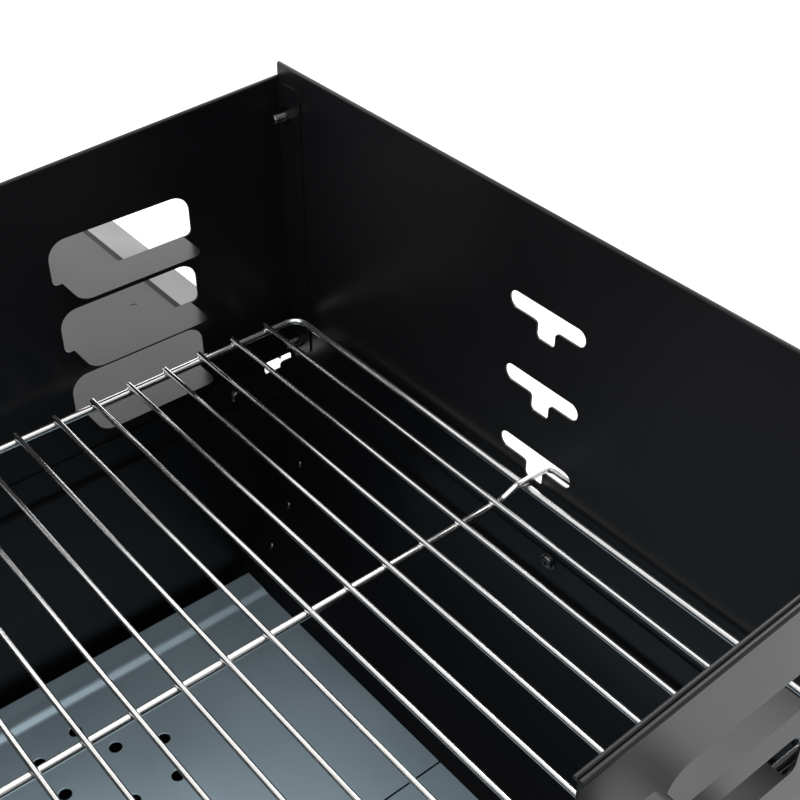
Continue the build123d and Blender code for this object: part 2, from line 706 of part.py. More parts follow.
with BuildPart() as handle_grip:
    with Locations(Location((handle_x, bowl_y, tube_z), to_front)):
        Cylinder(tube_r + 4.5, grip_len)
        fillet(handle_grip.edges().filter_by(GeomType.CIRCLE), 2.5)
        Cylinder(tube_r + 0.05, grip_len + 10, mode=Mode.SUBTRACT)
keep(handle_grip.part, "handle_grip")

# Stand-off bushes between the legs and the end plates, with the screws that go into them
standoff = leg_off - tube_r + bowl_inset - sheet
with BuildPart() as leg_standoffs:
    for x, turn in ((leg_x_left + tube_r, to_right), (leg_x_right - tube_r, to_left)):
        for leg_y in leg_ys:
            for z in leg_bolt_z:
                with Locations(Location((x, leg_y, z), turn)):
                    Cylinder(8.0, standoff, align=(Align.CENTER, Align.CENTER, Align.MIN))
                    with Locations((0, 0, -2.2)):
                        Cylinder(8.0, 2.2, align=(Align.CENTER, Align.CENTER, Align.MIN))
            leg_x = leg_x_left if x < box_x else leg_x_right
            with Locations((leg_x, leg_y, leg_bolt_z[0])):
                Cylinder(tube_r + fit, 300, mode=Mode.SUBTRACT)
    for x, turn in ((leg_x_left, to_right), (leg_x_right, to_left)):
        for leg_y in leg_ys:
            for z in leg_bolt_z:
                with Locations(Location((x, leg_y, z), turn)):
                    Cylinder(bolt_d / 2 + fit / 2, 60, mode=Mode.SUBTRACT)
keep(leg_standoffs.part, "leg_standoffs")

leg_screw_len = 2 * tube_r + standoff - 0.5
leg_spots = [Location((leg_x_left - tube_r - fit, y, z), to_right) for y in leg_ys for z in leg_bolt_z]
leg_spots += [Location((leg_x_right + tube_r + fit, y, z), to_left) for y in leg_ys for z in leg_bolt_z]
rod_of(leg_spots, pan_screw(leg_screw_len), "leg_screws")

# Lower shelf: tray between the four legs
low_left = leg_x_left + tube_r + fit
low_right = leg_x_right - tube_r - fit
low_dep = 2 * leg_half + 60.0
with BuildPart() as lower_shelf:
    low_len = low_right - low_left
    with Locations(((low_left + low_right) / 2, bowl_y, lower_shelf_z)):
        Box(low_len, low_dep, 28.0, align=(Align.CENTER, Align.CENTER, Align.MAX))
        fillet(lower_shelf.edges().filter_by(Axis.Z), 6.0)
    with Locations(((low_left + low_right) / 2, bowl_y, lower_shelf_z - sheet)):
        Box(
            low_len - 2 * sheet,
            low_dep - 2 * sheet,
            28.0,
            align=(Align.CENTER, Align.CENTER, Align.MAX),
            mode=Mode.SUBTRACT,
        )
    with BuildSketch(Plane.YZ.offset(low_left - 1)):
        with Locations(*[(y, lower_screw_z) for y in leg_ys]):
            Circle(2.6)
    extrude(amount=low_len + 2, mode=Mode.SUBTRACT)
keep(lower_shelf.part, "lower_shelf")

low_spots = [Location((leg_x_left - tube_r - fit, y, lower_screw_z), to_right) for y in leg_ys]
low_spots += [Location((leg_x_right + tube_r + fit, y, lower_screw_z), to_left) for y in leg_ys]
rod_of(low_spots, pan_screw(2 * tube_r + 8.0, head_r=4.6, head_h=2.6, d=5.0), "lower_shelf_screws")

# Axle, wheels and their caps
wheel_in = leg_half + tube_r + 3.0
wheel_ys = (bowl_y + wheel_in + wheel_w / 2, bowl_y - wheel_in - wheel_w / 2)
axle_half = wheel_in + wheel_w + 5.0
with BuildPart() as axle:
    with Locations(Location((leg_x_left, bowl_y, wheel_r), to_front)):
        Cylinder(axle_r, 2 * axle_half)
        chamfer(axle.edges(), 0.8)
keep(axle.part, "axle")

cap_spots = []
for side in (1, -1):
    turn = to_rear if side > 0 else to_front
    cap_spots.append(Location((leg_x_left, bowl_y + side * (wheel_in + wheel_w + 0.5), wheel_r), turn))
with BuildPart(mode=Mode.PRIVATE) as cap:
    Cylinder(11.0, 8.0, align=(Align.CENTER, Align.CENTER, Align.MIN))
    fillet(cap.edges().group_by(Axis.Z)[-1], 3.0)
    Cylinder(axle_r + 0.05, 5.0, align=(Align.CENTER, Align.CENTER, Align.MIN), mode=Mode.SUBTRACT)
rod_of(cap_spots, cap.part, "axle_caps")

for wheel_y, label in zip(wheel_ys, ("rear", "front")):
    with BuildPart() as wheel_hub:
        with Locations(Location((leg_x_left, wheel_y, wheel_r), to_front)):
            Cylinder(wheel_r - 12.0, wheel_w - 6.0)
            for face in (1, -1):
                with Locations((0, 0, face * (wheel_w / 2 - 3.0))):
                    Cylinder(wheel_r - 18.0, 20.0, mode=Mode.SUBTRACT)
            Cylinder(16.0, wheel_w)
            Cylinder(wheel_r - 16.0, 5.0)
            with PolarLocations(0, 3):
                Box(2 * (wheel_r - 17.0), 5.0, wheel_w - 10.0)
            Cylinder(axle_r + 0.06, 60, mode=Mode.SUBTRACT)
    keep(wheel_hub.part, f"wheel_hub_{label}")
    with BuildPart() as tyre:
        with Locations(Location((leg_x_left, wheel_y, wheel_r), to_front)):
            Cylinder(wheel_r, wheel_w - 4.0)
            fillet(tyre.edges().filter_by(GeomType.CIRCLE), 5.0)
            Cylinder(wheel_r - 12.0 + 0.05, 60, mode=Mode.SUBTRACT)
    keep(tyre.part, f"wheel_tyre_{label}")

# Foot caps on the right legs, end plugs in the left tubes
with BuildPart() as foot_caps:
    for leg_y in leg_ys:
        with Locations((leg_x_right, leg_y, 0)):
            Cylinder(tube_r + 3.0, 30.0, align=(Align.CENTER, Align.CENTER, Align.MIN))
    fillet(foot_caps.edges().group_by(Axis.Z)[0], 2.0)
    for leg_y in leg_ys:
        with Locations((leg_x_right, leg_y, foot_h)):
            Cylinder(tube_r + 0.05, 30.0, align=(Align.CENTER, Align.CENTER, Align.MIN), mode=Mode.SUBTRACT)
keep(foot_caps.part, "foot_caps")

with BuildPart(mode=Mode.PRIVATE) as plug:
    Cylinder(tube_r, 2.5, align=(Align.CENTER, Align.CENTER, Align.MAX))
    fillet(plug.edges().group_by(Axis.Z)[0], 1.5)
    Cylinder(tube_r - tube_wall - 0.05, 12.0, align=(Align.CENTER, Align.CENTER, Align.MIN))
plug_spots = [Location((leg_x_left, y, wheel_r - 22), (0, 0, 0)) for y in leg_ys]
plug_spots += [Location((shelf_out + 12, y, tube_z), to_right) for y in leg_ys]
rod_of(plug_spots, plug.part, "tube_plugs")


def spit_rest(x, turn):
    """Hook bracket on the front wall; its flange runs inwards along turn."""
    low_x = x - sheet
    with BuildPart() as rest:
        with BuildSketch(Plane.YZ.offset(low_x)):
            with BuildLine():
                Polyline(
                    (front_out, rest_z - 28),
                    (front_out, rest_z + 28),
                    (front_out - 14, rest_z + 28),
                    (rest_y + bush_groove_r + 6, rest_z + 6),
                    (rest_y + bush_groove_r + 6, rest_z + 16),
                    (rest_y - bush_groove_r - 9, rest_z + 16),
                    (rest_y - bush_groove_r - 9, rest_z - 14),
                    (front_out - 14, rest_z - 28),
                    close=True,
                )
            make_face()
            with Locations((rest_y, rest_z)):
                Circle(bush_groove_r + clear, mode=Mode.SUBTRACT)
                Rectangle(
                    2 * (bush_groove_r + clear), 40, align=(Align.CENTER, Align.MIN), mode=Mode.SUBTRACT
                )
        extrude(amount=2 * sheet)
        flange_low = min(low_x, x + turn * rest_flange)
        with Locations((flange_low, front_out, rest_z)):
            Box(rest_flange + sheet, 2 * sheet, 56, align=(Align.MIN, Align.MAX, Align.CENTER))
        with BuildSketch(Plane.XZ.offset(-front_out - 1)):
            with Locations(*[(x + turn * rest_hole_in, z) for z in rest_hole_zs]):
                Circle(2.2)
        extrude(amount=2 * sheet + 2, mode=Mode.SUBTRACT)
    return rest


spit_rest_left = spit_rest(rest_xs[0], 1)
keep(spit_rest_left.part, "spit_rest_left")
spit_rest_right = spit_rest(rest_xs[1], -1)
keep(spit_rest_right.part, "spit_rest_right")

rest_spots = [Location((x, front_out - 2 * sheet, z), to_rear) for x, z in rest_holes]
rod_of(rest_spots, pan_screw(3 * sheet + 3.5, head_r=3.8, head_h=2.4, d=4.0), "rest_screws")
rest_nut_spots = [Location((x, from_rear(box_dep), z), to_rear) for x, z in rest_holes]
rod_of(rest_nut_spots, hex_nut(across=7.0, height=3.0, d=4.0), "rest_nuts")

# Spit: square bar with a point, round tang for the handle, grooved bushings
spit_tip = from_left(-85.0)
spit_tail = from_left(box_len + 65.0)
with BuildPart() as spit_rod:
    with BuildSketch(Plane.YZ.offset(spit_tip + 22)):
        with Locations((rest_y, rest_z)):
            Rectangle(2 * spit_half, 2 * spit_half)
    extrude(amount=spit_tail - spit_tip - 22)
    with BuildSketch(Plane.YZ.offset(spit_tip)) as tip:
        with Locations((rest_y, rest_z)):
            Rectangle(1.6, 1.6)
    with BuildSketch(Plane.YZ.offset(spit_tip + 22)) as root:
        with Locations((rest_y, rest_z)):
            Rectangle(2 * spit_half, 2 * spit_half)
    loft(sections=[tip.sketch.face(), root.sketch.face()])
keep(spit_rod.part, "spit_rod")

with BuildPart() as spit_handle:
    with BuildSketch(Plane(origin=(spit_tail - 45, rest_y, rest_z), z_dir=(0, 0, 1))):
        with BuildLine():
            Polyline(
                (0, 0), (0, 9), (8, 11), (22, 12.5), (60, 13.5), (92, 12), (100, 8), (100, 0), close=True
            )
        make_face()
    revolve(axis=Axis((spit_tail, rest_y, rest_z), (1, 0, 0)))
    with BuildSketch(Plane.YZ.offset(spit_tail - 46)):
        with Locations((rest_y, rest_z)):
            Rectangle(2 * spit_half + fit, 2 * spit_half + fit)
    extrude(amount=46.1, mode=Mode.SUBTRACT)
keep(spit_handle.part, "spit_handle")

for x, label in zip(rest_xs, ("left", "right")):
    with BuildPart() as bushing:
        with Locations(Location((x, rest_y, rest_z), to_right)):
            Cylinder(bush_r, bush_w)
            chamfer(bushing.edges().filter_by(GeomType.CIRCLE), 1.0)
            with BuildPart(mode=Mode.PRIVATE) as groove:
                Cylinder(bush_r + 2, bush_groove_w)
                Cylinder(bush_groove_r, bush_groove_w, mode=Mode.SUBTRACT)
            add(groove.part, mode=Mode.SUBTRACT)
            Box(2 * spit_half + fit, 2 * spit_half + fit, 40, mode=Mode.SUBTRACT)
    keep(bushing.part, f"spit_bushing_{label}")

# Meat forks: square hub, cross plate and two prongs each way, held by a wing screw
fork_hub = spit_half + 5.0
prong_r = 2.5
prong_off = 24.0
prong_len = 85.0
for side, label in ((-1, "left"), (1, "right")):
    hub_x = box_x + side * fork_at
    inward = to_right if side < 0 else to_left
    with BuildPart() as fork:
        with Locations((hub_x, rest_y, rest_z)):
            Box(22, 2 * fork_hub, 2 * fork_hub)
            fillet(fork.edges().filter_by(Axis.X), 3.0)
            Box(4, 2 * prong_off + 10, 12)
            for up in (1, -1):
                with Locations(Location((0, up * prong_off, 0), inward)):
                    Cylinder(prong_r, prong_len, align=(Align.CENTER, Align.CENTER, Align.MIN))
                    with Locations((0, 0, prong_len)):
                        Cone(prong_r, 0.4, 16, align=(Align.CENTER, Align.CENTER, Align.MIN))
            Box(60, 2 * (spit_half + clear), 2 * (spit_half + clear), mode=Mode.SUBTRACT)
            with Locations((side * 6, 0, fork_hub)):
                Cylinder(2.5 + clear, 12, mode=Mode.SUBTRACT)
    keep(fork.part, f"fork_{label}")
    with BuildPart() as wing:
        with Locations((hub_x + side * 6, rest_y, rest_z + spit_half + clear)):
            Cylinder(2.5, 14, align=(Align.CENTER, Align.CENTER, Align.MIN))
            with Locations((0, 0, 7)):
                Cylinder(4.5, 7, align=(Align.CENTER, Align.CENTER, Align.MIN))
                for lean in (35, -35):
                    with Locations(Location((0, 0, 3), (lean, 0, 0))):
                        Box(5, 3, 15, align=(Align.CENTER, Align.CENTER, Align.MIN))
    keep(wing.part, f"wing_screw_{label}")

# Motor bracket on the right wall
wall_out = from_left(box_len + sheet)
case_in = wall_out + motor_gap
with BuildPart() as motor_bracket:
    with Locations((wall_out, bowl_y, bracket_z)):
        Box(1.5, 70, 22, align=(Align.MIN, Align.CENTER, Align.CENTER))
    with Locations((wall_out, bowl_y, bracket_z + 11)):
        Box(motor_gap, 70, 1.5, align=(Align.MIN, Align.CENTER, Align.MAX))
    with Locations((case_in, bowl_y, bracket_z + 9.5)):
        Box(1.5, 70, 68, align=(Align.MAX, Align.CENTER, Align.MIN))
    with BuildSketch(Plane.YZ.offset(wall_out - 1)):
        with Locations(*[(y, bracket_z) for y in bracket_ys]):
            Circle(2.2)
        with Locations((bowl_y, spit_z)):
            Circle(16)
            Rectangle(32, 60, align=(Align.CENTER, Align.MIN))
    extrude(amount=motor_gap + 2, mode=Mode.SUBTRACT)
    with BuildSketch(Plane.YZ.offset(wall_out - 1)):
        with Locations((bowl_y - 27, spit_z - 25), (bowl_y + 27, spit_z - 25)):
            Circle(2.2)
    extrude(amount=motor_gap + 2, mode=Mode.SUBTRACT)
keep(motor_bracket.part, "motor_bracket")

bracket_spots = [Location((wall_out + 1.5, y, bracket_z), to_left) for y in bracket_ys]
rod_of(bracket_spots, pan_screw(1.5 + sheet + 4.5, head_r=3.8, head_h=2.4, d=4.0), "bracket_screws")
bracket_nut_spots = [Location((from_left(box_len), y, bracket_z), to_left) for y in bracket_ys]
rod_of(bracket_nut_spots, hex_nut(across=7.0, height=3.0, d=4.0), "bracket_nuts")

# Motor case: tub with its mouth outwards, and a cover
case_wall = 2.0
cover_d = 20.0
case_split = case_in + motor_d - cover_d
case_screw_ys = (bowl_y - 27.0, bowl_y + 27.0)
door_t = 2.0
hinge_x = case_in + motor_d - door_t / 2
hinge_z = spit_z - 12 - 17.9
with BuildPart() as motor_case:
    with Locations((case_in, bowl_y, spit_z)):
        Box(motor_d - cover_d, motor_w, motor_h, align=(Align.MIN, Align.CENTER, Align.CENTER))
        fillet(motor_case.edges().filter_by(Axis.X), 8.0)
        with Locations((case_wall, 0, 0)):
            Box(
                motor_d,
                motor_w - 2 * case_wall,
                motor_h - 2 * case_wall,
                align=(Align.MIN, Align.CENTER, Align.CENTER),
                mode=Mode.SUBTRACT,
            )
    with Locations(Location((case_in, bowl_y, spit_z), to_right)):
        Cylinder(10.06, 20, mode=Mode.SUBTRACT)
    with BuildSketch(Plane.YZ.offset(case_in - 1)):
        with Locations(*[(y, spit_z - 25) for y in case_screw_ys]):
            Circle(2.2)
    extrude(amount=case_wall + 2, mode=Mode.SUBTRACT)
    with Locations((case_in + 22, bowl_y + motor_w / 2, spit_z + 12)):
        Box(16.2, 10, 11.2, mode=Mode.SUBTRACT)
keep(motor_case.part, "motor_case")

with BuildPart() as motor_cover:
    with Locations((case_split + fit, bowl_y, spit_z)):
        Box(cover_d - fit, motor_w, motor_h, align=(Align.MIN, Align.CENTER, Align.CENTER))
        fillet(motor_cover.edges().filter_by(Axis.X), 8.0)
        fillet(motor_cover.edges().group_by(Axis.X)[-1], 3.0)
        Box(
            2 * (cover_d - fit - case_wall),
            motor_w - 2 * case_wall,
            motor_h - 2 * case_wall,
            mode=Mode.SUBTRACT,
        )
    with Locations((case_in + motor_d, bowl_y, spit_z - 12)):
        Box(8, 58.4, 38.4, mode=Mode.SUBTRACT)
    with Locations(Location((hinge_x, bowl_y, hinge_z), to_front)):
        Cylinder(0.8, 58.4 + 2.4, mode=Mode.SUBTRACT)
keep(motor_cover.part, "motor_cover")

case_spots = [Location((case_in - 1.5, y, spit_z - 25), to_right) for y in case_screw_ys]
rod_of(case_spots, pan_screw(8.0, head_r=3.8, head_h=2.4, d=4.0), "case_screws")

# Battery door on the cover: it turns on two pins at the ends of its round lower edge
with BuildPart() as battery_door:
    with Locations((hinge_x, bowl_y, hinge_z)):
        Box(door_t, 57.8, 36.8, align=(Align.CENTER, Align.CENTER, Align.MIN))
    outer_edges = battery_door.edges().group_by(Axis.X)[-1]
    fillet(outer_edges.filter_by(lambda e: e.center().Z > hinge_z + 1), 0.8)
    with Locations(Location((hinge_x, bowl_y, hinge_z), to_front)):
        Cylinder(door_t / 2, 57.8)
        Cylinder(0.7, 57.8 + 2.4)
    with Locations((case_in + motor_d, bowl_y, spit_z)):
        Box(1.6, 18, 3, align=(Align.MIN, Align.CENTER, Align.CENTER))
keep(battery_door.part, "battery_door")

# Two cells lying side by side behind the door
with BuildPart() as batteries:
    for z in (spit_z - 21.0, spit_z - 5.0):
        with Locations(Location((case_split + 9.5, bowl_y, z), to_front)):
            Cylinder(7.2, 50.0)
            with Locations((0, 0, 25.6)):
                Cylinder(2.7, 1.2)
keep(batteries.part, "batteries")

# Drive train: small motor, pinion and the big gear with its square socket
gear_x = case_in + 12.0
gear_t = 5.0
gear_m = 0.8
big_teeth = 48
small_teeth = 12
centre_gap = gear_m * (big_teeth + small_teeth) / 2 + 0.15
pinion_y = bowl_y - centre_gap * cos(radians(45))
pinion_z = spit_z + centre_gap * sin(radians(45))


def gear(x, y, z, teeth, start):
    """Straight-cut gear along X with trapezoid teeth; start turns the first tooth."""
    root_r = gear_m * (teeth / 2 - 1.1)
    tip_r = gear_m * (teeth / 2 + 0.9)
    with BuildPart(mode=Mode.PRIVATE) as wheel:
        with BuildSketch():
            with BuildLine():
                Polyline(
                    (root_r - 0.2, gear_m),
                    (tip_r, gear_m * 0.32),
                    (tip_r, -gear_m * 0.32),
                    (root_r - 0.2, -gear_m),
                    close=True,
                )
            make_face()
        extrude(amount=gear_t)
        one_tooth = wheel.part
        Cylinder(root_r + 0.05, gear_t, align=(Align.CENTER, Align.CENTER, Align.MIN))
        for k in range(1, teeth):
            add(one_tooth.rotate(Axis.Z, k * 360 / teeth))
    return wheel.part.rotate(Axis.Z, start).moved(Location((x, y, z), to_right))


with BuildPart() as drive_socket:
    with Locations(Location((case_in - 6.0, bowl_y, spit_z), to_right)):
        Cylinder(10.0, 30.0, align=(Align.CENTER, Align.CENTER, Align.MIN))
        Box(
            2 * (spit_half + clear),
            2 * (spit_half + clear),
            24.0,
            align=(Align.CENTER, Align.CENTER, Align.MIN),
            mode=Mode.SUBTRACT,
        )
    add(gear(gear_x, bowl_y, spit_z, big_teeth, 0))
    with Locations(Location((case_in - 6.0, bowl_y, spit_z), to_right)):
        Box(
            2 * (spit_half + clear),
            2 * (spit_half + clear),
            24.0,
            align=(Align.CENTER, Align.CENTER, Align.MIN),
            mode=Mode.SUBTRACT,
        )
keep(drive_socket.part, "drive_socket")

with BuildPart() as motor_pinion:
    add(gear(gear_x, pinion_y, pinion_z, small_teeth, 0))
    with Locations(Location((gear_x + gear_t, pinion_y, pinion_z), to_right)):
        Cylinder(1.5, 4.0, align=(Align.CENTER, Align.CENTER, Align.MIN))
keep(motor_pinion.part, "motor_pinion")

with BuildPart() as motor_can:
    with Locations(Location((gear_x + gear_t + 1.0, pinion_y + 2, pinion_z - 2), to_right)):
        Cylinder(9.0, 16.0, align=(Align.CENTER, Align.CENTER, Align.MIN))
        fillet(motor_can.edges().group_by(Axis.X)[-1], 1.5)
    with Locations(Location((gear_x + gear_t + 0.5, pinion_y, pinion_z), to_right)):
        Cylinder(1.6, 6.0, align=(Align.CENTER, Align.CENTER, Align.MIN), mode=Mode.SUBTRACT)
keep(motor_can.part, "motor_can")

# Rocker switch in the case's rear side
switch_x = case_in + 22.0
switch_y = bowl_y + motor_w / 2
switch_z = spit_z + 12.0
with BuildPart() as switch_rocker:
    with BuildSketch(Plane.YZ.offset(switch_x - 7.7)):
        with Locations((switch_y - 1.0, switch_z)):
            Circle(5.2)
            with Locations((6.0, 0)):
                Rectangle(8.0, 12.0, mode=Mode.SUBTRACT)
        with Locations((switch_y + 1.6, switch_z)):
            Rectangle(1.0, 3.0)
    extrude(amount=15.4)
keep(switch_rocker.part, "switch_rocker")

spit_length = spit_tail - spit_tip
print("fire box centre", round(box_x, 1), round(box_y, 1), "spit length", round(spit_length, 1))
print("bar, frame, rods z", round(bar_z, 2), round(frame_z, 2), round(rods_z, 2))
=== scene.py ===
# %% [markdown]
# # A charcoal spit roaster, dressed for its picture
# The fire box, walls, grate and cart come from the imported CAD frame. This script gives every
# sheet, wire and moulding its finish, adds rivet heads, weld spots, threads, treads and rounded
# folds, and sets up a plain studio. The frame is loaded first, because every finish is put on
# one of its pieces.

# %% Load the frame
import json
import math

import bmesh
import bpy
from mathutils import Matrix, Vector

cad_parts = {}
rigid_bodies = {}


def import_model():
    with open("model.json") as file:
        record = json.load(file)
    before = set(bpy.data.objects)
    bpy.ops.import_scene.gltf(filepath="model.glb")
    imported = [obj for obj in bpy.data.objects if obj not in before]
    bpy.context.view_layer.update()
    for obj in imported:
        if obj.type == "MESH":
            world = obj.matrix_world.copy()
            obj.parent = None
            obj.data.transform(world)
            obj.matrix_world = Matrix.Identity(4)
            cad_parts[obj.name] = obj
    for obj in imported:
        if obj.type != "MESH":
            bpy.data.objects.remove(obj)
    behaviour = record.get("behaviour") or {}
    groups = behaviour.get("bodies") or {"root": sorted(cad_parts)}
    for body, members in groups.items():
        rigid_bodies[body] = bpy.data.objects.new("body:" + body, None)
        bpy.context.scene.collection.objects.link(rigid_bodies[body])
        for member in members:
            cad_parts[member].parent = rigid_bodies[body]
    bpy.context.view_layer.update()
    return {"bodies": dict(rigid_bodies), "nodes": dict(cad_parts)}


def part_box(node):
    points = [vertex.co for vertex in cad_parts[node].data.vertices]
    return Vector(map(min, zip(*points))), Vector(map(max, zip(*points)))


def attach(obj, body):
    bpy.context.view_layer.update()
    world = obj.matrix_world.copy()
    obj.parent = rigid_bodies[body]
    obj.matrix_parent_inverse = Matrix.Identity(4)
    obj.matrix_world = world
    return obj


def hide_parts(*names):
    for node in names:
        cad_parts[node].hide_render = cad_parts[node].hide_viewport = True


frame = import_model()

# %% [markdown]
# ## Starting a material
# Every finish below starts the same way: one Principled shader, and a noise or wave that reads
# Object coordinates so the pattern stays on the metal from every side. A small helper keeps
# each finish short, and each finish still gets its own nodes.

# %% Material helpers
MM = 0.001


def new_finish(name, color, roughness, metallic=0.0, **sockets):
    """One Principled material; plain values are set on the shader's own sockets."""
    mat = bpy.data.materials.new(name)
    mat.use_nodes = True
    shader = mat.node_tree.nodes["Principled BSDF"]
    shader.inputs["Base Color"].default_value = (*color, 1.0)
    shader.inputs["Roughness"].default_value = roughness
    shader.inputs["Metallic"].default_value = metallic
    for socket, value in sockets.items():
        shader.inputs[socket.replace("_", " ")].default_value = value
    return mat


def add_noise(mat, scale, detail=3.0, stretch=(1, 1, 1)):
    """Noise texture on Object coordinates, stretched along an axis when asked."""
    nodes, links = mat.node_tree.nodes, mat.node_tree.links
    coords = nodes.new("ShaderNodeTexCoord")
    mapping = nodes.new("ShaderNodeMapping")
    mapping.inputs["Scale"].default_value = stretch
    noise = nodes.new("ShaderNodeTexNoise")
    noise.inputs["Scale"].default_value = scale
    noise.inputs["Detail"].default_value = detail
    links.new(coords.outputs["Object"], mapping.inputs["Vector"])
    links.new(mapping.outputs["Vector"], noise.inputs["Vector"])
    return noise


def ramp_into(mat, source, socket, low, high, low_at=0.3, high_at=0.7):
    """Send a 0-1 pattern to a shader socket through a two-stop ramp."""
    nodes, links = mat.node_tree.nodes, mat.node_tree.links
    ramp = nodes.new("ShaderNodeValToRGB")
    ramp.color_ramp.elements[0].position = low_at
    ramp.color_ramp.elements[1].position = high_at
    ramp.color_ramp.elements[0].color = (*low, 1.0)
    ramp.color_ramp.elements[1].color = (*high, 1.0)
    links.new(source, ramp.inputs["Fac"])
    links.new(ramp.outputs["Color"], nodes["Principled BSDF"].inputs[socket])


def bump_from(mat, source, distance, strength):
    """Turn a pattern into relief of a real depth in metres."""
    nodes, links = mat.node_tree.nodes, mat.node_tree.links
    bump = nodes.new("ShaderNodeBump")
    bump.inputs["Distance"].default_value = distance
    bump.inputs["Strength"].default_value = strength
    links.new(source, bump.inputs["Height"])
    links.new(bump.outputs["Normal"], nodes["Principled BSDF"].inputs["Normal"])


def grey(value):
    return (value, value, value)


def dress(finish, *names):
    """Put one finish on several CAD nodes."""
    for name in names:
        thing = frame["nodes"][name]
        thing.data.materials.clear()
        thing.data.materials.append(finish)
    print(finish.name, "on", len(names), "pieces")


# %% [markdown]
# ## Heat-proof black enamel
# The sheet parts are dipped or sprayed in a thin satin black that flows almost flat but keeps
# a faint orange peel. Two noises make it: a fine one for the peel's relief, and a broad one
# that lets the gloss drift a little from place to place, as it does on thin pressed sheet.
# The shelf's screws are sprayed over with it, so their flush ends vanish in the plate.

# %% Black enamel
enamel = new_finish("black_enamel", (0.008, 0.008, 0.0095), 0.32, Specular_IOR_Level=0.28)
peel = add_noise(enamel, 420.0, 2.0)
drift = add_noise(enamel, 7.0, 4.0)
ramp_into(enamel, drift.outputs["Fac"], "Roughness", grey(0.27), grey(0.38))
ramp_into(
    enamel, drift.outputs["Fac"], "Base Color", (0.006, 0.006, 0.0072), (0.0105, 0.0105, 0.012))
bump_from(enamel, peel.outputs["Fac"], 0.00006, 0.5)
dress(
    enamel, "left_wall", "right_wall", "rear_wall", "front_wall", "bowl_shell", "bowl_end_left",
    "bowl_end_right", "side_shelf", "shelf_screws", "lower_shelf", "spit_rest_left",
    "spit_rest_right", "motor_bracket",
)

# %% [markdown]
# ## Powder-coated tube
# The legs are bent from tube and powder coated: the same black, but thicker and rounder in its
# relief than the enamel, with a slightly softer shine.

# %% Black tube
tube_coat = new_finish("black_tube", (0.016, 0.016, 0.018), 0.4)
grains = add_noise(tube_coat, 260.0, 2.0)
bump_from(tube_coat, grains.outputs["Fac"], 0.0001, 0.5)
ramp_into(
    tube_coat, add_noise(tube_coat, 9.0).outputs["Fac"], "Roughness", grey(0.34), grey(0.46))
dress(tube_coat, "leg_left_rear", "leg_left_front", "leg_frame_right", "leg_standoffs")

# %% [markdown]
# ## Zinc-coated sheet
# The charcoal trays are smooth galvanised sheet, a blue-grey with a soft, slightly cloudy
# shine. A broad noise clouds the colour and the gloss, and a fine one gives the rolled grain.

# %% Zinc sheet
zinc = new_finish("zinc_sheet", (0.41, 0.53, 0.60), 0.4, metallic=0.65)
cloud = add_noise(zinc, 9.0, 4.0)
ramp_into(zinc, cloud.outputs["Fac"], "Base Color", (0.39, 0.51, 0.58), (0.44, 0.56, 0.63))
ramp_into(zinc, cloud.outputs["Fac"], "Roughness", grey(0.36), grey(0.46))
bump_from(zinc, add_noise(zinc, 260.0, 2.0, (1, 5, 1)).outputs["Fac"], 0.00003, 0.4)
dress(zinc, "charcoal_tray_left", "charcoal_tray_right")

# %% [markdown]
# ## Chrome wire
# The grate is welded from wire and then plated, so its shine is bright but not a mirror: the
# plating softens at the welds and carries tiny drawing marks along the wire.

# %% Chrome wire
chrome = new_finish("chrome_wire", (0.68, 0.68, 0.675), 0.22, metallic=1.0)
bump_from(chrome, add_noise(chrome, 320.0, 2.0).outputs["Fac"], 0.00001, 0.3)
ramp_into(
    chrome, add_noise(chrome, 18.0, 3.0).outputs["Fac"], "Roughness", grey(0.18), grey(0.26))
ramp_into(
    chrome, add_noise(chrome, 40.0, 3.0).outputs["Fac"], "Base Color",
    (0.64, 0.64, 0.635), (0.72, 0.72, 0.715))
dress(chrome, "cooking_grate")

# %% [markdown]
# ## Bright steel
# The spit, forks and axle are drawn steel: long, fine scratches run along them. Stretching a
# noise along X gives lines that follow the bar.

# %% Bright steel
steel = new_finish("bright_steel", (0.56, 0.56, 0.55), 0.28, metallic=1.0)
drawn = add_noise(steel, 240.0, 4.0, (0.05, 1, 1))
bump_from(steel, drawn.outputs["Fac"], 0.00005, 0.4)
ramp_into(steel, drawn.outputs["Fac"], "Roughness", grey(0.22), grey(0.38))
dress(
    steel, "spit_rod", "fork_left", "fork_right", "axle", "spit_bushing_left",
    "spit_bushing_right",
)

# %% [markdown]
# ## Fasteners
# The screws, nuts and rivets are zinc plated and then passivated black: a thin, hard, dark
# skin with a dull metal shine. Only the two wing screws and the motor's can keep the plain
# bright plate, which is a little blotchy.

# %% Fasteners
black_plate = new_finish("black_plate", (0.16, 0.16, 0.165), 0.25, metallic=1.0)
bump_from(black_plate, add_noise(black_plate, 700.0).outputs["Fac"], 0.00003, 0.5)
ramp_into(
    black_plate, add_noise(black_plate, 120.0).outputs["Fac"], "Roughness",
    grey(0.18), grey(0.32))
dress(
    black_plate, "corner_bolts", "corner_nuts", "rim_screws", "rim_nuts", "leg_screws",
    "lower_shelf_screws", "rest_screws", "rest_nuts", "bracket_screws", "bracket_nuts",
    "case_screws", "bowl_rivets",
)
plate = new_finish("zinc_plate", (0.62, 0.63, 0.62), 0.3, metallic=1.0)
blotch = add_noise(plate, 160.0, 4.0)
ramp_into(plate, blotch.outputs["Fac"], "Base Color", (0.52, 0.53, 0.53), (0.70, 0.71, 0.69))
ramp_into(plate, blotch.outputs["Fac"], "Roughness", grey(0.22), grey(0.4))
bump_from(plate, add_noise(plate, 900.0).outputs["Fac"], 0.00003, 0.5)
dress(plate, "wing_screw_left", "wing_screw_right", "motor_can")

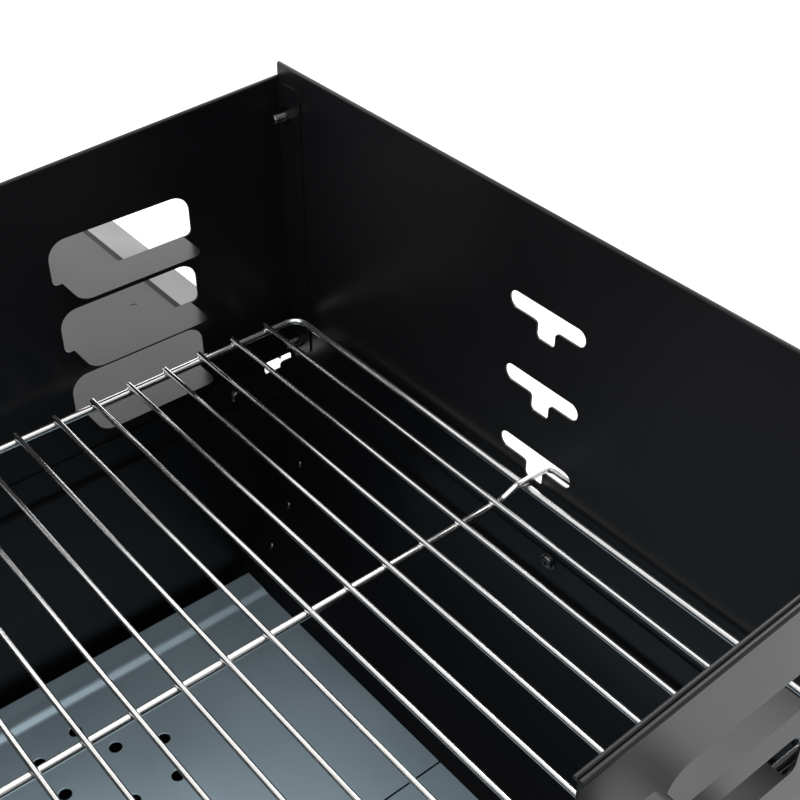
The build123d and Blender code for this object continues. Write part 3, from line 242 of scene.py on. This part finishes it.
# %% [markdown]
# ## Moulded plastic, rubber and wood
# Small caps and the motor case are spark-eroded black plastic, the tyres are dull rubber, and
# the grips are oiled hardwood. Their grain runs along each turned grip: one noise stretched
# long for the fibres, and a slower one that darkens broad streaks.

# %% Plastic, rubber and wood
plastic = new_finish("black_plastic", (0.022, 0.022, 0.024), 0.5)
bump_from(plastic, add_noise(plastic, 1100.0, 2.0).outputs["Fac"], 0.00008, 0.6)
ramp_into(plastic, add_noise(plastic, 20.0).outputs["Fac"], "Roughness", grey(0.44), grey(0.58))
dress(
    plastic, "foot_caps", "tube_plugs", "axle_caps", "motor_case", "motor_cover",
    "battery_door", "switch_rocker", "wheel_hub_rear", "wheel_hub_front",
)
rubber = new_finish("tyre_rubber", (0.02, 0.02, 0.02), 0.72)
bump_from(rubber, add_noise(rubber, 600.0, 3.0).outputs["Fac"], 0.0001, 0.6)
ramp_into(
    rubber, add_noise(rubber, 25.0).outputs["Fac"], "Base Color",
    (0.016, 0.016, 0.016), (0.034, 0.033, 0.031))
dress(rubber, "wheel_tyre_rear", "wheel_tyre_front")
gear_plastic = new_finish("gear_plastic", (0.72, 0.71, 0.66), 0.4)
bump_from(gear_plastic, add_noise(gear_plastic, 800.0).outputs["Fac"], 0.00004, 0.4)
ramp_into(
    gear_plastic, add_noise(gear_plastic, 60.0).outputs["Fac"], "Roughness",
    grey(0.34), grey(0.46))
dress(gear_plastic, "drive_socket", "motor_pinion")
sleeve = new_finish("battery_sleeve", (0.05, 0.055, 0.07), 0.3)
ramp_into(sleeve, add_noise(sleeve, 50.0).outputs["Fac"], "Roughness", grey(0.24), grey(0.36))
dress(sleeve, "batteries")


# %% Oiled wood
def oiled_wood(name, along):
    """Hardwood whose fibres run along one axis; along is the stretch of its noises."""
    wood = new_finish(name, (0.30, 0.15, 0.06), 0.42)
    fibres = add_noise(wood, 420.0, 5.0, along)
    streaks = add_noise(wood, 60.0, 3.0, along)
    streak_share, fibre_share = 0.6, 0.4
    nodes, links = wood.node_tree.nodes, wood.node_tree.links
    both = nodes.new("ShaderNodeMath")
    both.operation = "MULTIPLY_ADD"
    both.inputs[1].default_value = streak_share
    links.new(streaks.outputs["Fac"], both.inputs[0])
    fine = nodes.new("ShaderNodeMath")
    fine.operation = "MULTIPLY"
    fine.inputs[1].default_value = fibre_share
    links.new(fibres.outputs["Fac"], fine.inputs[0])
    links.new(fine.outputs[0], both.inputs[2])
    ramp_into(
        wood, both.outputs[0], "Base Color", (0.19, 0.085, 0.032), (0.36, 0.19, 0.082),
        low_at=0.38, high_at=0.62)
    ramp_into(wood, fibres.outputs["Fac"], "Roughness", grey(0.36), grey(0.5))
    bump_from(wood, fibres.outputs["Fac"], 0.00008, 0.5)
    return wood


dress(oiled_wood("oiled_wood", (1, 0.04, 1)), "handle_grip", "grate_grip")
dress(oiled_wood("oiled_wood_spit", (0.04, 1, 1)), "spit_handle")

# %% [markdown]
# ## A helper for Geometry Nodes
# Rivets, weld spots, screw threads and tread blocks all repeat one small shape along a rule.
# Each gets its own node tree with named sizes. The helper puts a tree on an empty mesh, sets
# its inputs by identifier, and keeps the evaluated result as a plain mesh riding on a body.

# %% Geometry Nodes helpers
def new_tree(name, sizes):
    """Empty geometry tree with named float or integer inputs and one geometry output."""
    tree = bpy.data.node_groups.new(name, "GeometryNodeTree")
    for label, value in sizes.items():
        kind = "NodeSocketInt" if isinstance(value, int) else "NodeSocketFloat"
        tree.interface.new_socket(label, in_out="INPUT", socket_type=kind).default_value = value
    tree.interface.new_socket("Geometry", in_out="OUTPUT", socket_type="NodeSocketGeometry")
    return tree, tree.nodes.new("NodeGroupInput"), tree.nodes.new("NodeGroupOutput")


def finish_tree(tree, instances, out, mat):
    """Close a tree: real meshes, smooth faces, one material."""
    real = tree.nodes.new("GeometryNodeRealizeInstances")
    smooth = tree.nodes.new("GeometryNodeSetShadeSmooth")
    paint = tree.nodes.new("GeometryNodeSetMaterial")
    paint.inputs["Material"].default_value = mat
    tree.links.new(instances, real.inputs[0])
    tree.links.new(real.outputs[0], smooth.inputs[0])
    tree.links.new(smooth.outputs[0], paint.inputs["Geometry"])
    tree.links.new(paint.outputs[0], out.inputs[0])


def grow(tree, place, **sizes):
    """Run a tree with these sizes and return its mesh, moved to its place."""
    base = bpy.data.objects.new("seed", bpy.data.meshes.new("seed"))
    bpy.context.collection.objects.link(base)
    modifier = base.modifiers.new("grow", "NODES")
    modifier.node_group = tree
    names = {
        item.name: item.identifier
        for item in tree.interface.items_tree if item.in_out == "INPUT"
    }
    for label, value in sizes.items():
        modifier[names[label.replace("_", " ")]] = value
    bpy.context.view_layer.update()
    evaluated = base.evaluated_get(bpy.context.evaluated_depsgraph_get())
    mesh = bpy.data.meshes.new_from_object(evaluated)
    bpy.data.objects.remove(base)
    mesh.transform(place)
    return mesh


def piece_from(name, meshes, mat, body):
    """Join plain meshes into one finished piece that rides on a body."""
    joined = bmesh.new()
    for mesh in meshes:
        joined.from_mesh(mesh)
        bpy.data.meshes.remove(mesh)
    mesh = bpy.data.meshes.new(name)
    joined.to_mesh(mesh)
    joined.free()
    mesh.materials.append(mat)
    for polygon in mesh.polygons:
        polygon.material_index = 0
    thing = bpy.data.objects.new(name, mesh)
    bpy.context.collection.objects.link(thing)
    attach(thing, body)
    print(name, "faces:", len(mesh.polygons))
    return thing


# %% [markdown]
# ## Rivet rows
# The end plates' flanges are riveted to the barrel. A real rivet head is a low dome, softer
# than the cone the frame carries, so an arc of squashed spheres replaces it: Curve Arc gives
# the row, Align Rotation turns each dome to face the middle of the barrel.

# %% Rivets
def rivet_tree(mat):
    tree, given, out = new_tree("rivet_row", {
        "Radius": 0.2, "Start": 0.0, "Sweep": 2.6, "Count": 17,
        "Head Radius": 0.0032, "Head Height": 0.0016})
    n, link = tree.nodes, tree.links.new
    arc = n.new("GeometryNodeCurveArc")
    link(given.outputs["Radius"], arc.inputs["Radius"])
    link(given.outputs["Start"], arc.inputs["Start Angle"])
    link(given.outputs["Sweep"], arc.inputs["Sweep Angle"])
    link(given.outputs["Count"], arc.inputs["Resolution"])
    points = n.new("GeometryNodeCurveToPoints")
    points.mode = "COUNT"
    link(arc.outputs[0], points.inputs[0])
    link(given.outputs["Count"], points.inputs["Count"])
    where = n.new("GeometryNodeInputPosition")
    aim = n.new("FunctionNodeAlignRotationToVector")
    aim.axis = "Z"
    link(where.outputs[0], aim.inputs["Vector"])
    dome = n.new("GeometryNodeMeshUVSphere")
    dome.inputs["Segments"].default_value = 20
    dome.inputs["Rings"].default_value = 10
    dome.inputs["Radius"].default_value = 1.0
    size = n.new("ShaderNodeCombineXYZ")
    link(given.outputs["Head Radius"], size.inputs["X"])
    link(given.outputs["Head Radius"], size.inputs["Y"])
    link(given.outputs["Head Height"], size.inputs["Z"])
    copies = n.new("GeometryNodeInstanceOnPoints")
    link(points.outputs[0], copies.inputs["Points"])
    link(dome.outputs[0], copies.inputs["Instance"])
    link(aim.outputs[0], copies.inputs["Rotation"])
    link(size.outputs[0], copies.inputs["Scale"])
    finish_tree(tree, copies.outputs[0], out, mat)
    return tree


def islands(node):
    """Boxes of the separate solids inside one CAD node, from a merged copy of its mesh."""
    copy = bmesh.new()
    copy.from_mesh(frame["nodes"][node].data)
    bmesh.ops.remove_doubles(copy, verts=copy.verts, dist=1e-6)
    left, boxes = set(copy.verts), []
    while left:
        stack, group = [left.pop()], []
        while stack:
            vert = stack.pop()
            group.append(vert.co.copy())
            for edge in vert.link_edges:
                other = edge.other_vert(vert)
                if other in left:
                    left.remove(other)
                    stack.append(other)
        boxes.append((
            Vector(min(p[i] for p in group) for i in range(3)),
            Vector(max(p[i] for p in group) for i in range(3)),
        ))
    copy.free()
    return boxes


# %% Rows of rivets
rivet_boxes = islands("bowl_rivets")
rivet_xs = sorted({round((low.x + high.x) / 2, 4) for low, high in rivet_boxes})
shell_low, shell_high = (Vector(v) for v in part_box("bowl_shell"))
barrel_y = (shell_low.y + shell_high.y) / 2
barrel_r, sheet_t = 237.5 * MM, 1.2 * MM
head_in, head_out = 1.3 * MM, 1.2 * MM   # how far the inner and outer heads stand off barrel_r
row_start, row_sweep = math.radians(15.2), math.radians(149.6)
barrel_z = shell_low.z + barrel_r + sheet_t
rivets = rivet_tree(black_plate)
rows = []
for x in rivet_xs:
    # the tree's arc lies in XY; turn it so X runs to the front and Y points up
    upright = Matrix(((0, 0, 1), (-1, 0, 0), (0, -1, 0))).to_4x4()
    stand = Matrix.Translation((x, barrel_y, barrel_z)) @ upright
    for radius in (barrel_r - head_in, barrel_r + head_out):
        rows.append(grow(
            rivets, stand, Radius=radius, Start=row_start, Sweep=row_sweep,
            Count=len(rivet_boxes) // len(rivet_xs)))
dome_rivets = piece_from("dome_rivets", rows, black_plate, "cart")
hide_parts("bowl_rivets")

# %% [markdown]
# ## Pressed trays
# A tray is pressed from one sheet, so its folds are round and the punching leaves every hole
# with a soft rim that catches the light. The frame's trays have sharp folds. A merged copy of
# each gets its shallow folds bevelled wide and its cut edges bevelled fine; the frame's own
# tray stays behind it for contacts.

# %% Pressed trays
def pressed_copy(node, fold=1.6 * MM, rim=0.45 * MM, shortest_fold=0.2):
    """Merged copy of a tray: long shallow folds bevelled wide, cut edges bevelled fine."""
    sheet = bmesh.new()
    sheet.from_mesh(frame["nodes"][node].data)
    bmesh.ops.remove_doubles(sheet, verts=sheet.verts, dist=1e-6)
    bmesh.ops.dissolve_limit(
        sheet, angle_limit=math.radians(0.5), verts=sheet.verts, edges=sheet.edges)
    for width, steps, least, most in ((fold, 5, 1.0, 40.0), (rim, 2, 70.0, 110.0)):
        edges = [
            e for e in sheet.edges
            if len(e.link_faces) == 2
            and math.radians(least) < e.calc_face_angle() < math.radians(most)
            and (width == rim or e.calc_length() > shortest_fold)
        ]
        bmesh.ops.bevel(
            sheet, geom=edges, offset=width, segments=steps, affect="EDGES", profile=0.5)
    bmesh.ops.triangulate(sheet, faces=sheet.faces)
    mesh = bpy.data.meshes.new("pressed")
    sheet.to_mesh(mesh)
    sheet.free()
    return mesh


for side in ("left", "right"):
    body = next(b for b in frame["bodies"] if "tray" in b and side in b)
    pressed = pressed_copy(f"charcoal_tray_{side}")
    pressing = piece_from(f"tray_pressing_{side}", [pressed], zinc, body)
    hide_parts(f"charcoal_tray_{side}")

# %% [markdown]
# ## Weld spots on the grate
# Every rod is resistance-welded where it crosses the frame and the middle bar. The metal
# squeezes out into a small flat bead. A grid of flattened spheres, two or one columns wide,
# lies at those crossings.

# %% Weld spots
def weld_tree(mat):
    tree, given, out = new_tree("weld_spots", {
        "Columns": 2, "Rows": 16, "Width": 0.47, "Depth": 0.42,
        "Spot Radius": 0.003, "Spot Height": 0.0022})
    n, link = tree.nodes, tree.links.new
    grid = n.new("GeometryNodeMeshGrid")
    link(given.outputs["Width"], grid.inputs["Size X"])
    link(given.outputs["Depth"], grid.inputs["Size Y"])
    link(given.outputs["Columns"], grid.inputs["Vertices X"])
    link(given.outputs["Rows"], grid.inputs["Vertices Y"])
    bead = n.new("GeometryNodeMeshIcoSphere")
    bead.inputs["Radius"].default_value = 1.0
    bead.inputs["Subdivisions"].default_value = 3
    size = n.new("ShaderNodeCombineXYZ")
    link(given.outputs["Spot Radius"], size.inputs["X"])
    link(given.outputs["Spot Radius"], size.inputs["Y"])
    link(given.outputs["Spot Height"], size.inputs["Z"])
    copies = n.new("GeometryNodeInstanceOnPoints")
    link(grid.outputs["Mesh"], copies.inputs["Points"])
    link(bead.outputs["Mesh"], copies.inputs["Instance"])
    link(size.outputs[0], copies.inputs["Scale"])
    finish_tree(tree, copies.outputs[0], out, mat)
    return tree


# %% Spots on the grate
rod_pitch, rod_rows, wire_in, first_rod = 28 * MM, 16, 17.4 * MM, 33.8 * MM
frame_d, rod_d, bar_d, sunk = 5.5 * MM, 3.5 * MM, 5.0 * MM, 0.3 * MM
inner_left, inner_right, inner_rear = shell_low.x, shell_high.x, shell_high.y
mid_x = (inner_left + inner_right) / 2
grate_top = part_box("cooking_grate")[1][2]
grip_low, grip_high = (Vector(v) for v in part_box("grate_grip"))
bar_x = (grip_low.x + grip_high.x) / 2
bar_z = grate_top - bar_d / 2
frame_z = bar_z - (frame_d + bar_d) / 2 + sunk
rods_z = frame_z + (frame_d + rod_d) / 2 - sunk
middle_row = inner_rear - first_rod - rod_pitch * (rod_rows - 1) / 2
welds = weld_tree(chrome)
side_z = (frame_z + rods_z) / 2 + sunk
under_bar = 1.9 * MM                     # the bar's spots sit this far under the rods' middle
side_spots = grow(
    welds, Matrix.Translation((mid_x, middle_row, side_z)),
    Columns=2, Rows=rod_rows, Width=inner_right - inner_left - 2 * wire_in,
    Depth=rod_pitch * (rod_rows - 1), Spot_Radius=2.7 * MM, Spot_Height=1.7 * MM)
bar_spots = grow(
    welds, Matrix.Translation((bar_x, middle_row, rods_z - under_bar)),
    Columns=1, Rows=rod_rows, Width=0.0, Depth=rod_pitch * (rod_rows - 1),
    Spot_Radius=2.6 * MM, Spot_Height=1.5 * MM)
weld_beads = piece_from("weld_beads", [side_spots, bar_spots], chrome, "grate")

# %% [markdown]
# ## The doubled edge of the motor-side wall
# The right wall carries the motor, so its top edge is folded twice: beside the rolled bead a
# second, thinner fold runs along the inside and leaves a narrow groove between them. A round
# profile swept along a straight curve makes it, in two lengths, one each side of the spit
# notch.

# %% Doubled edge
def fold_tree(mat):
    tree, given, out = new_tree("edge_fold", {
        "Length": 0.2, "Rise": 0.0, "Fold Radius": 0.0012})
    n, link = tree.nodes, tree.links.new
    end = n.new("ShaderNodeCombineXYZ")
    link(given.outputs["Length"], end.inputs["Y"])
    link(given.outputs["Rise"], end.inputs["Z"])
    line = n.new("GeometryNodeCurvePrimitiveLine")
    link(end.outputs[0], line.inputs["End"])
    round_edge = n.new("GeometryNodeCurvePrimitiveCircle")
    round_edge.inputs["Resolution"].default_value = 24
    link(given.outputs["Fold Radius"], round_edge.inputs["Radius"])
    swept = n.new("GeometryNodeCurveToMesh")
    swept.inputs["Fill Caps"].default_value = True
    link(line.outputs[0], swept.inputs["Curve"])
    link(round_edge.outputs[0], swept.inputs["Profile Curve"])
    finish_tree(tree, swept.outputs[0], out, mat)
    return tree


# %% Folds beside the notch
wall_drop, notch_half, fold_r, proud = 28 * MM, 7.5 * MM, 1.25 * MM, 0.05 * MM
wall_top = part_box("right_wall")[1][2]
slope = wall_drop / (shell_high.y - shell_low.y)
folds = fold_tree(enamel)
lengths = []
spans = ((shell_low.y, barrel_y - notch_half), (barrel_y + notch_half, shell_high.y))
for start_y, end_y in spans:
    start_z = wall_top - fold_r - (shell_high.y - start_y) * slope
    lengths.append(grow(
        folds, Matrix.Translation((shell_high.x - fold_r + proud, start_y, start_z)),
        Length=end_y - start_y, Rise=(end_y - start_y) * slope, Fold_Radius=fold_r))
edge_fold = piece_from("edge_fold_right", lengths, enamel, "cart")

# %% [markdown]
# ## Screw threads
# The corner bolts stick out of their nuts towards the coals, so their threads are plain to
# see. Curve Spiral draws the helix and a three-sided profile swept along it makes the ridge.

# %% Threads
def thread_tree(mat):
    tree, given, out = new_tree("thread", {
        "Pitch": 0.001, "Turns": 6.0, "Radius": 0.003, "Ridge": 0.0004})
    n, link = tree.nodes, tree.links.new
    helix = n.new("GeometryNodeCurveSpiral")
    helix.inputs["Resolution"].default_value = 20
    tall = n.new("ShaderNodeMath")
    tall.operation = "MULTIPLY"
    link(given.outputs["Pitch"], tall.inputs[0])
    link(given.outputs["Turns"], tall.inputs[1])
    link(given.outputs["Turns"], helix.inputs["Rotations"])
    link(given.outputs["Radius"], helix.inputs["Start Radius"])
    link(given.outputs["Radius"], helix.inputs["End Radius"])
    link(tall.outputs[0], helix.inputs["Height"])
    ridge = n.new("GeometryNodeCurvePrimitiveCircle")
    ridge.inputs["Resolution"].default_value = 4
    link(given.outputs["Ridge"], ridge.inputs["Radius"])
    swept = n.new("GeometryNodeCurveToMesh")
    swept.inputs["Fill Caps"].default_value = True
    link(helix.outputs[0], swept.inputs["Curve"])
    link(ridge.outputs[0], swept.inputs["Profile Curve"])
    finish_tree(tree, swept.outputs[0], out, mat)
    return tree


# %% Threads on the corner bolts
threads = thread_tree(black_plate)
pitch, bare_tip = 1.0 * MM, 0.8 * MM
coils = []
nut_boxes = islands("corner_nuts")
for low, high in islands("corner_bolts"):
    x, z = (low.x + high.x) / 2, (low.z + high.z) / 2
    nut = min(nut_boxes, key=lambda b: ((b[0] + b[1]) / 2 - (low + high) / 2).length)
    to_front = (low.y + high.y) / 2 > barrel_y
    tip = low.y if to_front else high.y
    face = nut[0].y if to_front else nut[1].y
    turn = Matrix.Rotation(math.radians(90 if to_front else -90), 4, "X")
    coils.append(grow(
        threads, Matrix.Translation((x, face, z)) @ turn,
        Turns=(abs(tip - face) - bare_tip) / pitch, Radius=2.75 * MM, Ridge=0.5 * MM))
bolt_threads = piece_from("bolt_threads", coils, black_plate, "cart")

# %% [markdown]
# ## Tread on the tyres
# The tyres are solid rubber with a band of low lugs. A ring of points carries one rounded
# block each, two rings per tyre set half a step apart, sunk so that the lugs reach just the
# frame's own tyre radius.

# %% Lugs
lug_count = 36


def lug_tree(mat):
    tree, given, out = new_tree("tyre_lugs", {
        "Radius": 0.0735, "Count": lug_count,
        "Lug Length": 0.008, "Lug Width": 0.011, "Lug Height": 0.003})
    n, link = tree.nodes, tree.links.new
    ring = n.new("GeometryNodeMeshCircle")
    link(given.outputs["Count"], ring.inputs["Vertices"])
    link(given.outputs["Radius"], ring.inputs["Radius"])
    where = n.new("GeometryNodeInputPosition")
    aim = n.new("FunctionNodeAlignRotationToVector")
    aim.axis = "X"
    link(where.outputs[0], aim.inputs["Vector"])
    size = n.new("ShaderNodeCombineXYZ")
    link(given.outputs["Lug Height"], size.inputs["X"])
    link(given.outputs["Lug Length"], size.inputs["Y"])
    link(given.outputs["Lug Width"], size.inputs["Z"])
    lug = n.new("GeometryNodeMeshCube")
    link(size.outputs[0], lug.inputs["Size"])
    copies = n.new("GeometryNodeInstanceOnPoints")
    link(ring.outputs[0], copies.inputs["Points"])
    link(lug.outputs["Mesh"], copies.inputs["Instance"])
    link(aim.outputs[0], copies.inputs["Rotation"])
    finish_tree(tree, copies.outputs[0], out, mat)
    return tree


# %% Turned bands
def lathe(profile, centre, segments=96):
    """Closed ring turned about a line along Y: profile points are (along, radius)."""
    ring = bmesh.new()
    loops = []
    for k in range(segments):
        angle = 2 * math.pi * k / segments
        loops.append([
            ring.verts.new(centre + Vector((r * math.cos(angle), along, r * math.sin(angle))))
            for along, r in profile
        ])
    for k in range(segments):
        near, far = loops[k], loops[(k + 1) % segments]
        for i in range(len(profile)):
            j = (i + 1) % len(profile)
            ring.faces.new((near[i], near[j], far[j], far[i]))
    bmesh.ops.recalc_face_normals(ring, faces=ring.faces)
    for face in ring.faces:
        face.smooth = True
    mesh = bpy.data.meshes.new("turned")
    ring.to_mesh(mesh)
    ring.free()
    return mesh


def tyre_profile(half, inner, outer, corner):
    """Half-round shoulders between a flat bore and a flat running face."""
    points = [(-half, inner), (-half, outer - corner)]
    for side in (-1, 1):
        for k in range(1, 6):
            turn = math.pi / 2 * k / 6
            across, rise = math.cos(turn), math.sin(turn)
            if side > 0:
                across, rise = rise, across
            along = side * (half - corner + corner * across)
            points.append((along, outer - corner + corner * rise))
    return points + [(half, outer - corner), (half, inner)]


# %% Tyres
lugs = lug_tree(rubber)
band, tread, shoulder = 11.95 * MM, 1.3 * MM, 5 * MM
row_off, lug_sunk, lug_high = 6.5 * MM, 1.6 * MM, 3.0 * MM
for end in ("rear", "front"):
    low, high = (Vector(v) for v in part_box(f"wheel_tyre_{end}"))
    centre = (low + high) / 2
    outer = (high.z - low.z) / 2
    half = (high.y - low.y) / 2
    parts = [lathe(tyre_profile(half, outer - band, outer - tread, shoulder), centre)]
    for side, lean in ((1, 0.0), (-1, math.pi / lug_count)):
        stand = Matrix.Translation(centre + Vector((0, side * row_off, 0)))
        stand = stand @ Matrix.Rotation(math.pi / 2, 4, "X") @ Matrix.Rotation(lean, 4, "Z")
        parts.append(grow(lugs, stand, Radius=outer - lug_sunk, Lug_Height=lug_high))
    tyre = piece_from(f"lugged_tyre_{end}", parts, rubber, f"wheel_{end}")
    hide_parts(f"wheel_tyre_{end}")

# %% [markdown]
# ## The studio
# A white floor in a white surround, as in a catalogue picture. The lamps are kept at a plain
# level, so the last step up to white is a little glow that only the camera, reflections and
# clear things see: it adds no light to the object, and the floor keeps its soft shadow.

# %% Floor and world
def seen_rays(tree):
    """1 for the rays that show the background as it is, 0 for those that light things."""
    path = tree.nodes.new("ShaderNodeLightPath")
    shown = path.outputs["Is Camera Ray"]
    for ray in ("Is Glossy Ray", "Is Transmission Ray"):
        most = tree.nodes.new("ShaderNodeMath")
        most.operation = "MAXIMUM"
        tree.links.new(shown, most.inputs[0])
        tree.links.new(path.outputs[ray], most.inputs[1])
        shown = most.outputs[0]
    return shown


def plain_floor(size=9.0, glow=0.36):
    """White square that lights nothing more than its colour does, but is seen as white."""
    mesh = bpy.data.meshes.new("floor")
    half = size / 2
    corners = [(-half, -half, 0), (half, -half, 0), (half, half, 0), (-half, half, 0)]
    mesh.from_pydata(corners, [], [(0, 1, 2, 3)])
    floor = bpy.data.objects.new("floor", mesh)
    bpy.context.collection.objects.link(floor)
    paint = new_finish("floor_paint", (0.88, 0.88, 0.88), 0.8)
    nodes, links = paint.node_tree.nodes, paint.node_tree.links
    lift = nodes.new("ShaderNodeEmission")
    scaled = nodes.new("ShaderNodeMath")
    scaled.operation = "MULTIPLY"
    scaled.inputs[1].default_value = glow
    both = nodes.new("ShaderNodeAddShader")
    links.new(seen_rays(paint.node_tree), scaled.inputs[0])
    links.new(scaled.outputs[0], lift.inputs["Strength"])
    links.new(nodes["Principled BSDF"].outputs[0], both.inputs[0])
    links.new(lift.outputs[0], both.inputs[1])
    links.new(both.outputs[0], nodes["Material Output"].inputs["Surface"])
    mesh.materials.append(paint)
    return floor


# %% Floor and surround
plain_floor()
world = bpy.data.worlds.new("studio")
bpy.context.scene.world = world
world.use_nodes = True
nodes, links = world.node_tree.nodes, world.node_tree.links
nodes.clear()
out = nodes.new("ShaderNodeOutputWorld")
mix = nodes.new("ShaderNodeMixShader")
lit = nodes.new("ShaderNodeBackground")
seen = nodes.new("ShaderNodeBackground")
lit.inputs["Color"].default_value = (0.92, 0.95, 1.0, 1)
lit.inputs["Strength"].default_value = 0.4
seen.inputs["Color"].default_value = (1, 1, 1, 1)
links.new(seen_rays(world.node_tree), mix.inputs["Fac"])
links.new(lit.outputs[0], mix.inputs[1])
links.new(seen.outputs[0], mix.inputs[2])
links.new(mix.outputs[0], out.inputs["Surface"])
print("floor and world ready")

# %% [markdown]
# ## Lamps
# Three large soft lamps, over, left and front, fill the fire box evenly. Three more stand
# behind it, each where one kind of black sheet mirrors it to the viewer: the shelf and left
# tabs, the shelf's sloping edges, and the right tabs. Black enamel shows its shape only so.

# %% Lamps
def soft_lamp(name, place, aim, size, power):
    data = bpy.data.lights.new(name, "AREA")
    data.shape = "RECTANGLE"
    data.size, data.size_y = size
    data.energy = power
    lamp = bpy.data.objects.new(name, data)
    lamp.location = place
    lamp.rotation_euler = (Vector(aim) - Vector(place)).to_track_quat("-Z", "Y").to_euler()
    bpy.context.collection.objects.link(lamp)


middle = (0.1, 0.05, 0.8)
soft_lamp("over", (0.2, 0.1, 3.2), middle, (2.4, 2.0), 22)
soft_lamp("from_left", (-2.4, -0.6, 2.2), middle, (1.6, 2.0), 18)
soft_lamp("from_front", (0.8, -2.8, 1.8), middle, (2.2, 1.6), 18)
soft_lamp("behind_left", (-2.5, 1.25, 2.5), (-0.25, 0.17, 0.85), (1.8, 1.4), 20)
soft_lamp("low_behind_left", (-3.0, 2.45, 1.05), (-0.33, 0.25, 0.8), (2.2, 1.0), 20)
soft_lamp("high_behind", (-0.6, 1.9, 3.2), (0.33, 0.17, 0.92), (1.4, 1.1), 42)

# %% [markdown]
# ## The camera
# It looks down into the fire box from above the front right corner, about half a metre over
# the walls. Its place is measured from the fire box's own top corner.

# %% Camera
wall_high = Vector(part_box("left_wall")[1])
corner = Vector((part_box("bowl_end_left")[0][0], wall_high.y, wall_high.z))
eye = corner + Vector((0.6786, -0.4608, 0.3688))
right = Vector((0.6378, 0.7702, 0.0054)).normalized()
back = Vector((0.6042, -0.5047, 0.6167)).normalized()
up = back.cross(right).normalized()
right = up.cross(back).normalized()
camera = bpy.data.objects.new("camera", bpy.data.cameras.new("camera"))
camera.matrix_world = Matrix.Translation(eye) @ Matrix((right, up, back)).transposed().to_4x4()
camera.data.lens = 59.56
camera.data.sensor_width = 36.0
camera.data.clip_start = 0.01
bpy.context.collection.objects.link(camera)
bpy.context.scene.camera = camera
bpy.context.scene.view_settings.view_transform = "Standard"
print("camera at", [round(v, 4) for v in eye])
